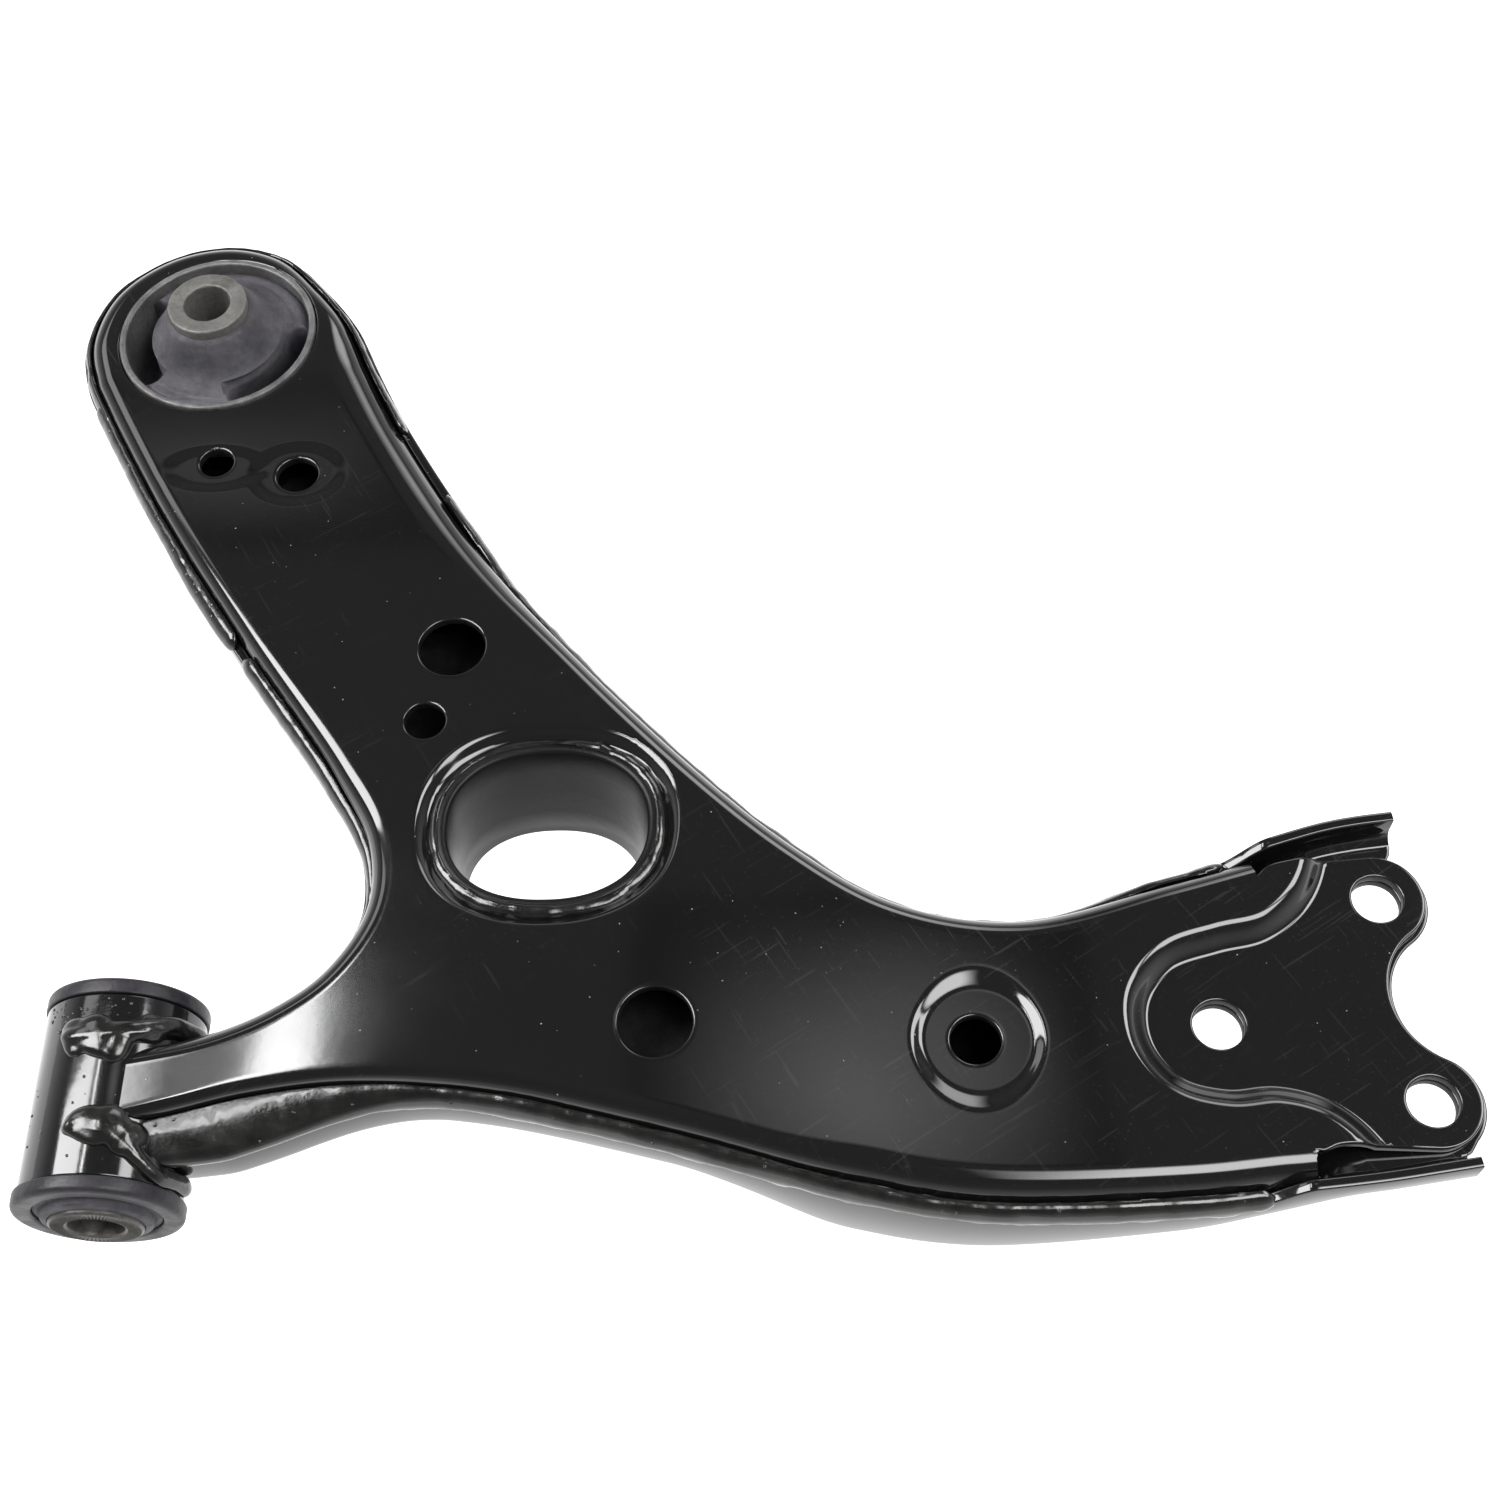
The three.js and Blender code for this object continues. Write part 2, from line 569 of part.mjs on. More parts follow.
place('rear_bush_outer_sleeve', upright(pipe(REAR_CAN_R - REAR_CAN_WALL, REAR_CAN_R,
  REAR_CAN_BOTTOM, REAR_CAN_TOP, 64), [0, BUSH_SPACING]), COATED_RING);
place('rear_bush_rubber', rearRubber(), RUBBER);
place('rear_bush_inner_sleeve', upright(sleeve(
  REAR_BORE_R, REAR_SLEEVE_R, REAR_SLEEVE_BOTTOM, REAR_SLEEVE_TOP, 0.7), [0, BUSH_SPACING]), STEEL);

const frontRun = FRONT_EDGE.filter((p) => p.x > 26 && p.x < 304);
const outerRun = OUTER_EDGE.filter((p) => p.x < 304 && p.y < 188);
const rearRun = [...OUTER_EDGE.filter((p) => p.y > 192), ...REAR_END];
const innerRearRun = INNER_EDGE.filter((p) => p.y > 142);
const innerFrontRun = INNER_EDGE.filter((p) => p.y < 138 && p.x > 26);

place('front_edge_weld', edgeWeld(frontRun, neckFlare), WELD);
place('outer_edge_weld', edgeWeld(outerRun), WELD);
place('rear_end_weld', edgeWeld(rearRun), WELD);
place('inner_edge_rear_weld', edgeWeld(innerRearRun), WELD);
place('inner_edge_front_weld', edgeWeld(innerFrontRun), WELD);
place('collar_weld_top', collarWeld(-DISH_DEPTH + GAP, 1), WELD);
place('collar_weld_bottom', collarWeld(BOSS_LEVEL - GAP, -1), WELD);

place('tube_front_weld', tubeWeld(
  [[-8, -12], [10, -12.8], [25, -15.2], [42, -19.6], [56, -22.1], [75, -22.2], [97, -22]]), WELD);
place('tube_rear_weld', tubeWeld(
  [[-28, 13], [0, 13.4], [20, 14.4], [40, 16.6], [56, 18.4], [75, 19], [97, 19.4]]), WELD);
place('tube_bottom_weld', tubeWeld([[114.5, -15], [115, 0], [114.5, 12]]), WELD);

const box = new THREE.Box3().setFromObject(arm);
arm.position.set(-(box.min.x + box.max.x) / 2, -(box.min.y + box.max.y) / 2, -box.min.z);

export default arm;
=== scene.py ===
# Looks of a pressed-steel lower control arm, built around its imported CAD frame.
#
# Shapes are worked out in the arm's drawing frame, in millimetres: x outboard, y rearward along
# the swing axis, z = 0 on the main plate, origin on the swing axis at the front bush. placed()
# turns them into the row frame, in metres.

import math

import bpy
import bmesh
import numpy as np
from mathutils import Matrix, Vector
from mathutils.geometry import delaunay_2d_cdt
from mathutils.kdtree import KDTree


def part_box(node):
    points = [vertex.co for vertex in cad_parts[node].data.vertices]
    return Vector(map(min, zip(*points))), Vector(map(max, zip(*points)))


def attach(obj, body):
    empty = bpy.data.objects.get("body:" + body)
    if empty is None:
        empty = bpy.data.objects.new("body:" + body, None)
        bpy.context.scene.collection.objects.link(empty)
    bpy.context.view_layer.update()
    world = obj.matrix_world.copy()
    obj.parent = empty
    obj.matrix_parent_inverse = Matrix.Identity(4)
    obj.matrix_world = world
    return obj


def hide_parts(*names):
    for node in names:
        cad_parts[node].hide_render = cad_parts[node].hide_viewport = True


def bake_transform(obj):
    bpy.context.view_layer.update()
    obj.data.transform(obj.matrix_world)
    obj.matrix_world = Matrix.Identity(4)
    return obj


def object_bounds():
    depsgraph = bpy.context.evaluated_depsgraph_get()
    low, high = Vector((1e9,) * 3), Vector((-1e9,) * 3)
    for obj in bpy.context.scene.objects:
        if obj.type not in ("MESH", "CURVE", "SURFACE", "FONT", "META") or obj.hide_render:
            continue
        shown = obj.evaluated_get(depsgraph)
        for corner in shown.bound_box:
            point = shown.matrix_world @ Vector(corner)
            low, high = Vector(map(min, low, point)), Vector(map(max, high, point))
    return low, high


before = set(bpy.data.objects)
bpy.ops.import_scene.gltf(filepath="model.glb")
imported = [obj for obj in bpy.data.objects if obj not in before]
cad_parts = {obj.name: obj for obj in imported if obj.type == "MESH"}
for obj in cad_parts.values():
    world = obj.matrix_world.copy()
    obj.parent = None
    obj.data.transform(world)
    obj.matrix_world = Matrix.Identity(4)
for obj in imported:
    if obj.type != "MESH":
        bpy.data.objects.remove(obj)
CAD_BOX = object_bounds()

# ---------------------------------------------------------------- driving dimensions, mm

SHEET = 3.0
GAP = 0.3
SHOULDER = 6.0
NECK_SHOULDER = 3.6             # the front shoulder is sharper next to the tube
REAR_SHOULDER = 12.0            # and a soft roll beside the rear bush, on the outer side
OUTBOARD_SHOULDER = 8.0         # and a little rounder where the arm deepens
UPPER_WALL_END = -14.0
FLANGE_TOP = -7.0
PAD_FLANGE_TOP = 0.8
PAD_DROP = 5.5
LEDGE_HALF = 3.9
PAD_UNDERSIDE = -PAD_DROP - 2 * SHEET - GAP
HOLLOW_RUN = 11.0
FLOOR_BEND = 6.0                # outer radius where the lower shell's floor turns up
SHEET_EDGE = 0.55               # rounding of a cut sheet edge
WALL_EDGE = 0.6                 # rounding of the upper shell's lower rim
FLANGE_EDGE = [(0, 0.5), (0.15, 0.15), (0.5, 0)]    # its flange's rounding: inset and drop
BAY_DROP = 5.2                  # how much lower the flange stands round the inner bay
OUTER_DROP = 4.6                # and along the outer edge

BUSH_SPACING = 260.0
TUBE_AXIS_Z = -20.0
TUBE_R = 21.5
TUBE_WALL = 2.8
TUBE_HALF = 25.2
BUSH_HALF = 30.0
FRONT_RING_R = 22.6
REAR_RING_R = 22.0
FRONT_CAN_WALL = 1.5
FRONT_SLEEVE_R = 12.6
FRONT_SLEEVE_HALF = 32.8
FRONT_BORE_R = 7.25
FRONT_BOSS_R = 14.7
FRONT_BOSS_HALF = 31.8

REAR_CENTRE = (0, BUSH_SPACING)
REAR_CAN_R = 32.0
REAR_CAN_WALL = 2.2
REAR_CAN_TOP = 1.0
REAR_CAN_BOTTOM = -30.0
REAR_SLEEVE_R = 12.65
REAR_BORE_R = 7.35
REAR_SLEEVE_TOP = 14.7
REAR_SLEEVE_BOTTOM = -40.7
BURR_BOTTOM = -12.0
BURR_BEND = 0.8

OVAL_CENTRE = np.array([116.4, 76.5])
OVAL_HALF = np.array([28.5, 23.3])
OVAL_POWER = 2.25
COLLAR_TOP = -1.2
COLLAR_BOTTOM = -41.0
COLLAR_TAPER = 2.5
COLLAR_LEAN = np.array([-2.0, -2.2])
DISH_DEPTH = 3.0
DISH_SLOPE = (SHEET + 1.7, SHEET + 6.4)     # where the dish round the oval ends and starts
FLOOR_LEVEL = -26.5
BOSS_LEVEL = -37.5
BOSS_FLAT = 3.0
BOSS_RIM = 9.5
HOLLOW_LEVEL = -32.0            # the lower shell's underside before it rises to the pad

PAD_HOLE_R = 7.0
LOBE_R = 13.0
PAD_HOLES = {"inner": (298.3, 14.8), "rear": (346.0, 51.2), "front": (351.4, -7.5)}
NOTCH_CENTRE = (366.5, 23.5)
NOTCH_R = 21.5
PAD_HOLE_SET = [(at, PAD_HOLE_R) for at in PAD_HOLES.values()]
LOWER_PAD_MARGIN = 1.6

PLATE_HOLES = [
    ((148.1, 15.5), 10.1), ((85.5, 135.9), 9.9), ((79.4, 110.4), 6.0),
    ((32.3, 201.6), 6.5), ((6.3, 206.9), 5.3), ((233.0, 9.7), 6.8)]
ROUND_SEAT = {"at": (233.6, 9.7), "rim": 18.4, "flat": 14.2, "depth": 1.5, "spread": 2.6}
SMALL_SEAT = {"at": (6.0, 204.5), "rim": (18.5, 9.5), "flat": (11.1, 5.7), "depth": 0.28}
OVAL_SEAT = {"at": (32.3, 201.8), "rim": (16.5, 13.0), "flat": (11.0, 8.4), "depth": 0.4}

FRONT_EDGE = [
    (-1, -12.6), (22, -7), (40, -2.6), (66, 0.5), (100, -1.7), (150, -13.2), (200, -27.5),
    (232, -33.2), (285, -32.8), (311, -30.4)]
OUTER_EDGE = [
    (311, 62), (288, 55.6), (247, 45.4), (214, 51.4), (185, 70.2), (142, 111.8), (96, 167),
    (63, 220.2), (50.2, 246.2)]
REAR_END = [
    (47.4, 252.6), (41.6, 265.2), (30.8, 280.6), (16.4, 295.4), (-1, 300.7), (-20.8, 296),
    (-37, 281), (-42.4, 260.4), (-38.6, 243.2)]
INNER_EDGE = [
    (-35.3, 236), (-9.3, 189), (22.3, 140.2), (53.6, 94.8), (65.6, 72.6), (66.8, 52),
    (57.4, 33.8), (44.6, 23.2), (27.4, 15.4), (-1, 9.7)]
NECK_END = np.array([(-5.5, 5), (-5.5, -8)])

LEDGE = [
    (333, 84), (329.5, 62), (323.5, 50.5), (313, 42), (300, 38.8), (285.5, 33.5), (276.8, 21.5),
    (277, 8), (285, -3), (298, -7), (311, -6.3), (323, -10), (331.5, -17.5), (337, -28),
    (339, -46)]
KEEL = [
    (-90, FLOOR_LEVEL), (60, FLOOR_LEVEL + 0.5), (158, FLOOR_LEVEL + 2), (174, -29), (196, -39),
    (214, -38.6), (235, -36.4), (262, -31.2), (290, -26.2), (310, -18.8), (326, PAD_UNDERSIDE),
    (430, PAD_UNDERSIDE)]
NECK_FLARE = 10.4               # how much further out the lower shell's wall stands by the neck

CAMERA_AT = (185.97, -200.24, 508.5)
CAMERA_AIM = (173.70, 98.70, 0.0)
CAMERA_ROLL = -2.97
CAMERA_LENS = 49.5
CEILING = 1.25                  # height of the overhead diffusers in the row frame, m
FLOOR_GLOW = 1.5

tube_low, tube_high = (np.array(corner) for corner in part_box("front_bush_tube"))
DRAWING_ORIGIN = 0.5 * (tube_low + tube_high) - np.array([0, 0, TUBE_AXIS_Z / 1000])


def placed(points):
    """Drawing millimetres to metres in the row frame."""
    return np.asarray(points, float) / 1000 + DRAWING_ORIGIN


# ---------------------------------------------------------------- lines and outlines

def smooth(points, spacing):
    """A centripetal Catmull-Rom line through the points, resampled at an even spacing."""
    p = np.asarray(points, float)
    p = np.vstack([2 * p[0] - p[1], p, 2 * p[-1] - p[-2]])
    t = np.linspace(0, 1, 24, endpoint=False)[:, None]
    dense = []
    for a, b, c, d in zip(p, p[1:], p[2:], p[3:]):
        ab, bc, cd = (math.sqrt(np.linalg.norm(v)) for v in (b - a, c - b, d - c))
        leave = ((b - a) / ab - (c - a) / (ab + bc) + (c - b) / bc) * bc
        arrive = ((c - b) / bc - (d - b) / (bc + cd) + (d - c) / cd) * bc
        dense.append((2 * t**3 - 3 * t**2 + 1) * b + (t**3 - 2 * t**2 + t) * leave
                     + (3 * t**2 - 2 * t**3) * c + (t**3 - t**2) * arrive)
    return resampled(np.vstack(dense + [p[-2:-1]]), spacing)


def resampled(line, spacing):
    run = np.concatenate([[0], np.cumsum(np.linalg.norm(np.diff(line, axis=0), axis=1))])
    count = max(2, round(run[-1] / spacing)) + 1
    even = np.linspace(0, run[-1], count)
    return np.column_stack([np.interp(even, run, line[:, k]) for k in range(line.shape[1])])


def arc(centre, r, start, end, spacing=1.0):
    count = max(3, math.ceil(abs(math.radians(end - start)) * r / spacing))
    a = np.radians(np.linspace(start, end, count + 1))
    return np.column_stack([centre[0] + r * np.cos(a), centre[1] + r * np.sin(a)])


def bearing(a, b):
    return math.degrees(math.atan2(b[1] - a[1], b[0] - a[0]))


def normals_of(line, closed=False):
    """Unit normals on the right of a line: its outside when it runs anticlockwise."""
    if closed:
        t = np.roll(line, -1, axis=0) - np.roll(line, 1, axis=0)
    else:
        t = np.gradient(line, axis=0)
    t = t / np.linalg.norm(t, axis=1)[:, None]
    return np.column_stack([t[:, 1], -t[:, 0]])


def circle(count):
    """Points of a unit circle."""
    a = np.linspace(0, 2 * np.pi, count, endpoint=False)
    return np.column_stack([np.cos(a), np.sin(a)])


def round_ring(at, r, spacing=0.9):
    return arc(at, r, 0, 360, spacing)[:-1]


def push_out(line, distance, closed=False):
    return line + normals_of(line, closed) * np.broadcast_to(distance, len(line))[:, None]


def smoothstep(x, low, high):
    t = np.clip((np.asarray(x, float) - low) / (high - low), 0, 1)
    return t * t * (3 - 2 * t)


def oval(grow, z=COLLAR_TOP, count=144):
    """The collar's inner outline at height z, grown by `grow`."""
    down = (COLLAR_TOP - z) / (COLLAR_TOP - COLLAR_BOTTOM)
    unit = circle(count)
    unit = np.sign(unit) * np.abs(unit) ** (2 / OVAL_POWER)
    return OVAL_CENTRE + COLLAR_LEAN * down + (OVAL_HALF + grow - COLLAR_TAPER * down) * unit


def oval_growth(xy):
    """How far outside the oval's top outline each point lies, by the same measure as oval()."""
    away = np.abs(xy - OVAL_CENTRE)
    low, high = np.full(len(xy), -20.0), np.full(len(xy), 60.0)
    for _ in range(24):
        middle = 0.5 * (low + high)
        within = ((away / (OVAL_HALF + middle[:, None])) ** OVAL_POWER).sum(axis=1) < 1
        high = np.where(within, middle, high)
        low = np.where(within, low, middle)
    return 0.5 * (low + high)


def pad_lobes(margin, front_from, rear_to):
    rear, front = PAD_HOLES["rear"], PAD_HOLES["front"]
    front_turn = bearing(front, NOTCH_CENTRE)
    rear_turn = bearing(rear, NOTCH_CENTRE)
    return np.vstack([
        arc(front, LOBE_R + margin, front_from, front_turn),
        arc(NOTCH_CENTRE, NOTCH_R - margin, front_turn + 180, rear_turn + 180)[1:-1],
        arc(rear, LOBE_R + margin, rear_turn, rear_to)])


LEDGE_LINE = smooth(LEDGE, 1.2)


def beyond_ledge(xy):
    """Signed distance from the ledge's centre line: positive on the ball joint's side."""
    best = np.full(len(xy), 1e9)
    side = np.ones(len(xy))
    for a, b in zip(LEDGE_LINE, LEDGE_LINE[1:]):
        along = b - a
        t = np.clip(((xy - a) @ along) / (along @ along), 0, 1)
        away = xy - (a + t[:, None] * along)
        d = np.hypot(away[:, 0], away[:, 1])
        closer = d < best
        turn = along[0] * away[:, 1] - along[1] * away[:, 0]
        best = np.where(closer, d, best)
        side = np.where(closer, np.sign(turn) + (turn == 0), side)
    return best * side


def inside(xy, loop):
    """Even-odd test of points against a closed loop."""
    hit = np.zeros(len(xy), bool)
    x, y = xy[:, 0], xy[:, 1]
    for (ax, ay), (bx, by) in zip(loop, np.roll(loop, -1, axis=0)):
        if ay != by:
            hit ^= ((ay > y) != (by > y)) & (x < (bx - ax) * (y - ay) / (by - ay) + ax)
    return hit


# ---------------------------------------------------------------- heights of the two pressings

def ripple(xy, seed, size, height):
    """A low swell over the sheet, as a pressing has."""
    rng = np.random.default_rng(seed)
    swell = np.zeros(len(xy))
    for _ in range(7):
        a = rng.uniform(0, 2 * np.pi)
        reach = size * rng.uniform(0.7, 1.6)
        swell += np.sin((xy @ [math.cos(a), math.sin(a)]) * 2 * np.pi / reach
                        + rng.uniform(0, 2 * np.pi))
    return height * swell / 7


def keel_at(x):
    """Height of the lower shell's belly line, before it's smoothed."""
    return np.interp(x, *np.transpose(KEEL))


def seat_drop(xy, seat):
    """Depth of an oval seat: full inside its flat, none beyond its rim."""
    reach = np.hypot(*((xy - seat["at"]) / seat["rim"]).T)
    return seat["depth"] * (1 - smoothstep(reach, seat["flat"][0] / seat["rim"][0], 1))


def round_seat_drop(xy):
    """Depth of the round seat, whose slope is wider before and behind it."""
    flat = ROUND_SEAT["flat"]
    away = xy - ROUND_SEAT["at"]
    reach = np.hypot(*away.T)
    across = (away[:, 0] / np.maximum(reach, 1e-6)) ** 2
    rim = ROUND_SEAT["rim"] + ROUND_SEAT["spread"] * (1 - across) ** 2
    return ROUND_SEAT["depth"] * (1 - smoothstep((reach - flat) / (rim - flat), 0, 1))


def plate_top(xy):
    """Height of the upper shell's top face."""
    # The ledge leaves the plate in a wide bend and meets the pad in a tight one.
    t = np.clip((beyond_ledge(xy) + LEDGE_HALF + 0.9) / (2 * LEDGE_HALF + 0.6), 0, 1) ** 1.4
    z = ripple(xy, 3, 70, 0.14) - PAD_DROP * smoothstep(t, 0, 1)
    z -= DISH_DEPTH * (1 - smoothstep(oval_growth(xy), *DISH_SLOPE))
    return z - round_seat_drop(xy) - seat_drop(xy, OVAL_SEAT) - seat_drop(xy, SMALL_SEAT)


def floor_under(xy):
    """Height of the lower shell's underside."""
    z = np.mean([keel_at(xy[:, 0] + run) for run in np.linspace(-5, 5, 5)], axis=0)
    distance = beyond_ledge(xy)
    rise = HOLLOW_LEVEL + (PAD_UNDERSIDE - HOLLOW_LEVEL) * smoothstep(distance, -HOLLOW_RUN - 2, 1)
    z = np.where(distance > -HOLLOW_RUN - 2, np.maximum(z, rise), z)
    z = np.where(distance > 1, PAD_UNDERSIDE, z)
    down = smoothstep(oval_growth(xy), SHEET + BOSS_FLAT - 1.5, SHEET + BOSS_RIM)
    return np.minimum(z, BOSS_LEVEL + (z - BOSS_LEVEL) * down) + ripple(xy, 8, 60, 0.1)


# ---------------------------------------------------------------- mesh building

class Build:
    """Collects vertices and faces; touching parts are welded together at the end."""

    def __init__(self):
        self.vertices = []
        self.faces = []
        self.count = 0

    def add(self, vertices, faces):
        self.vertices.append(np.asarray(vertices, float))
        self.faces += [[i + self.count for i in face] for face in faces]
        self.count += len(vertices)

    def strip(self, rows, closed=False, ring=False):
        """Quads over rows of points; closed joins the last row to the first, ring each row's ends."""
        rows = np.asarray(rows, float)
        n, k = rows.shape[:2]
        faces = []
        for i in range(n if closed else n - 1):
            here, after = i * k, ((i + 1) % n) * k
            for j in range(k if ring else k - 1):
                across = (j + 1) % k
                faces.append([here + j, after + j, after + across, here + across])
        self.add(rows.reshape(-1, 3), faces)

    def cap(self, row):
        self.add(row, [list(range(len(row)))])

    def weld(self, distance=2e-4):
        mesh = bmesh.new()
        for point in np.vstack(self.vertices):
            mesh.verts.new(point)
        mesh.verts.ensure_lookup_table()
        for face in self.faces:
            corners = [mesh.verts[i] for i in face]
            if len(set(corners)) > 2 and mesh.faces.get(corners) is None:
                mesh.faces.new(corners)
        bmesh.ops.remove_doubles(mesh, verts=mesh.verts, dist=distance)
        bmesh.ops.dissolve_degenerate(mesh, dist=1e-4, edges=mesh.edges)
        loose = [v for v in mesh.verts if not v.link_faces]
        bmesh.ops.delete(mesh, geom=loose, context="VERTS")
        bmesh.ops.recalc_face_normals(mesh, faces=mesh.faces)
        return mesh


def nearest(points, places):
    """Distance from each of the places to the nearest of the points."""
    tree = KDTree(len(points))
    for i, (x, y) in enumerate(points):
        tree.insert((x, y, 0), i)
    tree.balance()
    return np.array([tree.find((x, y, 0))[2] for x, y in places])


def covered(loop, holes, extra, spacing):
    """Points and triangles that cover the inside of a loop with holes."""
    rings = [loop] + holes
    edge = np.vstack(rings)
    support = np.vstack([push_out(loop, -0.9, True)] + [push_out(hole, 0.9, True) for hole in holes])
    support = support[nearest(edge, support) > 0.7]
    extra = extra[nearest(np.vstack([edge, support]), extra) > 0.6]
    placed_points = np.vstack([edge, support, extra])
    low, high = loop.min(axis=0), loop.max(axis=0)
    rows = []
    for k, y in enumerate(np.arange(low[1], high[1], spacing * math.sqrt(3) / 2)):
        x = np.arange(low[0] + (k % 2) * spacing / 2, high[0], spacing)
        rows.append(np.column_stack([x, np.full(len(x), y)]))
    grid = np.vstack(rows)
    grid = grid[nearest(placed_points, grid) > 0.6 * spacing]
    free = np.vstack([support, extra, grid])
    keep = inside(free, loop)
    for hole in holes:
        keep &= ~inside(free, hole)
    edges = []
    start = 0
    for ring in rings:
        n = len(ring)
        edges += [(start + i, start + (i + 1) % n) for i in range(n)]
        start += n
    points = [tuple(p) for p in np.vstack([edge, free[keep]])]
    vertices, _, faces, *_ = delaunay_2d_cdt(points, edges, [], 0, 1e-5)
    vertices = np.array([tuple(v) for v in vertices])
    faces = np.array([list(f) for f in faces])
    middle = vertices[faces].mean(axis=1)
    keep = inside(middle, loop)
    for hole in holes:
        keep &= ~inside(middle, hole)
    return vertices, faces[keep]


def quarter(radius, count):
    """Sideways and downward shares of a quarter-round bend, from flat to upright."""
    a = np.linspace(0, np.pi / 2, count)
    return radius * np.sin(a), radius * (1 - np.cos(a))


def hole_wall(build, ring, top, bottom, depth_to=None):
    """The rounded edge and wall of a hole: from the top face's ring to the underside's ring."""
    normals = normals_of(ring, True)
    rows = []
    for point, normal, high, low in zip(ring, normals, top, bottom):
        out, down = quarter(SHEET_EDGE, 5)
        column = [(*(point + normal * (SHEET_EDGE - o)), high - d) for o, d in zip(out, down)]
        if depth_to is None:
            column += [(*(point + normal * (SHEET_EDGE - o)), low + d)
                       for o, d in zip(out[::-1], down[::-1])]
        else:
            behind = point + normal * SHEET
            column += [(*point, depth_to), (*behind, depth_to), (*behind, low - BURR_BEND),
                       (*(point + normal * (SHEET + BURR_BEND)), low)]
        rows.append(column)
    build.strip(rows, closed=True)


def open_hole(build, ring, top_of, burr_to=None):
    """Walls a hole, with a burr where asked, and returns the top and under faces' edges."""
    edge = push_out(ring, SHEET_EDGE, True)
    low_edge = edge if burr_to is None else push_out(ring, SHEET + BURR_BEND, True)
    hole_wall(build, ring, top_of(edge), top_of(low_edge) - SHEET, burr_to)
    return edge, low_edge


def as_object(name, mesh):
    """A linked object that takes over a bmesh."""
    data = bpy.data.meshes.new(name)
    mesh.to_mesh(data)
    mesh.free()
    thing = bpy.data.objects.new(name, data)
    bpy.context.collection.objects.link(thing)
    return thing


def modified(thing, *helpers):
    """The object's mesh after its modifiers; the object and its helpers are removed."""
    graph = bpy.context.evaluated_depsgraph_get()
    result = bmesh.new()
    result.from_mesh(thing.evaluated_get(graph).to_mesh())
    for used in (thing, *helpers):
        data = used.data
        bpy.data.objects.remove(used)
        bpy.data.meshes.remove(data)
    return result


def coordinates(data):
    points = np.empty(len(data.vertices) * 3)
    data.vertices.foreach_get("co", points)
    return points.reshape(-1, 3)


def piece(name, mesh, look, body, stands_for, angle=38, shaded_faces=None):
    """A finished piece in the scene: its mesh is in drawing millimetres until here."""
    thing = as_object(name, mesh)
    data = thing.data
    data.polygons.foreach_set("use_smooth", [True] * len(data.polygons))
    data.set_sharp_from_angle(angle=math.radians(angle))
    data.materials.append(look)
    # Faces picked here get the dull painted-shade material, which stands in for the shade in holes.
    if shaded_faces is not None:
        middles = np.empty(len(data.polygons) * 3)
        data.polygons.foreach_get("center", middles)
        data.materials.append(HOLE_SHADE)
        shaded = shaded_faces(middles.reshape(-1, 3))
        data.polygons.foreach_set("material_index", shaded.astype(np.int32))
    data.vertices.foreach_set("co", placed(coordinates(data)).ravel())
    data.update()
    if body:
        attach(thing, body)
    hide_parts(*stands_for)
    return thing


def cut_by(mesh, cutter):
    """The closed mesh less the closed cutter."""
    target = as_object("cut_target", mesh)
    tool = as_object("cut_tool", cutter)
    modifier = target.modifiers.new("cut", "BOOLEAN")
    modifier.operation = "DIFFERENCE"
    modifier.solver = "EXACT"
    modifier.object = tool
    result = modified(target, tool)
    bmesh.ops.triangulate(result, faces=[f for f in result.faces if len(f.verts) > 4])
    bmesh.ops.dissolve_degenerate(result, dist=1e-4, edges=result.edges)
    return result


def fused(mesh, passes, cell=0.4):
    """Overlapping lumps run together into one smooth skin."""
    thing = as_object("fused", mesh)
    skin = thing.modifiers.new("skin", "REMESH")
    skin.mode = "VOXEL"
    skin.voxel_size = cell
    calm = thing.modifiers.new("calm", "SMOOTH")
    calm.factor = 0.5
    calm.iterations = passes
    return modified(thing)


def joined(*parts):
    whole = bmesh.new()
    for part in parts:
        data = bpy.data.meshes.new("part")
        part.to_mesh(data)
        part.free()
        whole.from_mesh(data)
        bpy.data.meshes.remove(data)
    return whole


def turned(profile, count=160, along_y=False, centre=(0, 0), radius_at=None):
    """A ring from its closed profile [(radius, height), ...] turned about Z, or laid along Y."""
    rows = []
    for i in range(count):
        a = 2 * np.pi * i / count
        row = []
        for r, h in profile:
            if radius_at is not None:
                r, h = radius_at(r, h, a)
            x, y = r * math.cos(a), r * math.sin(a)
            row.append((x, h, TUBE_AXIS_Z + y) if along_y else (centre[0] + x, centre[1] + y, h))
        rows.append(row)
    build = Build()
    build.strip(rows, closed=True, ring=True)
    return build.weld()


def rounded(profile, radius, steps=4):
    """Rounds the corners of a closed profile; `radius` is one number or one for each corner."""
    points = np.asarray(profile, float)
    n = len(points)
    radii = np.broadcast_to(radius, n)
    result = []
    for i in range(n):
        before, corner, after = points[i - 1], points[i], points[(i + 1) % n]
        to_before, to_after = before - corner, after - corner
        room = 0.45 * min(np.linalg.norm(to_before), np.linalg.norm(to_after))
        reach = min(radii[i], room)
        a = corner + to_before / np.linalg.norm(to_before) * reach
        b = corner + to_after / np.linalg.norm(to_after) * reach
        if reach < 1e-3:
            result.append(tuple(corner))
            continue
        for t in np.linspace(0, 1, steps + 1):
            result.append(tuple((1 - t) ** 2 * a + 2 * t * (1 - t) * corner + t * t * b))
    return result


# ---------------------------------------------------------------- materials

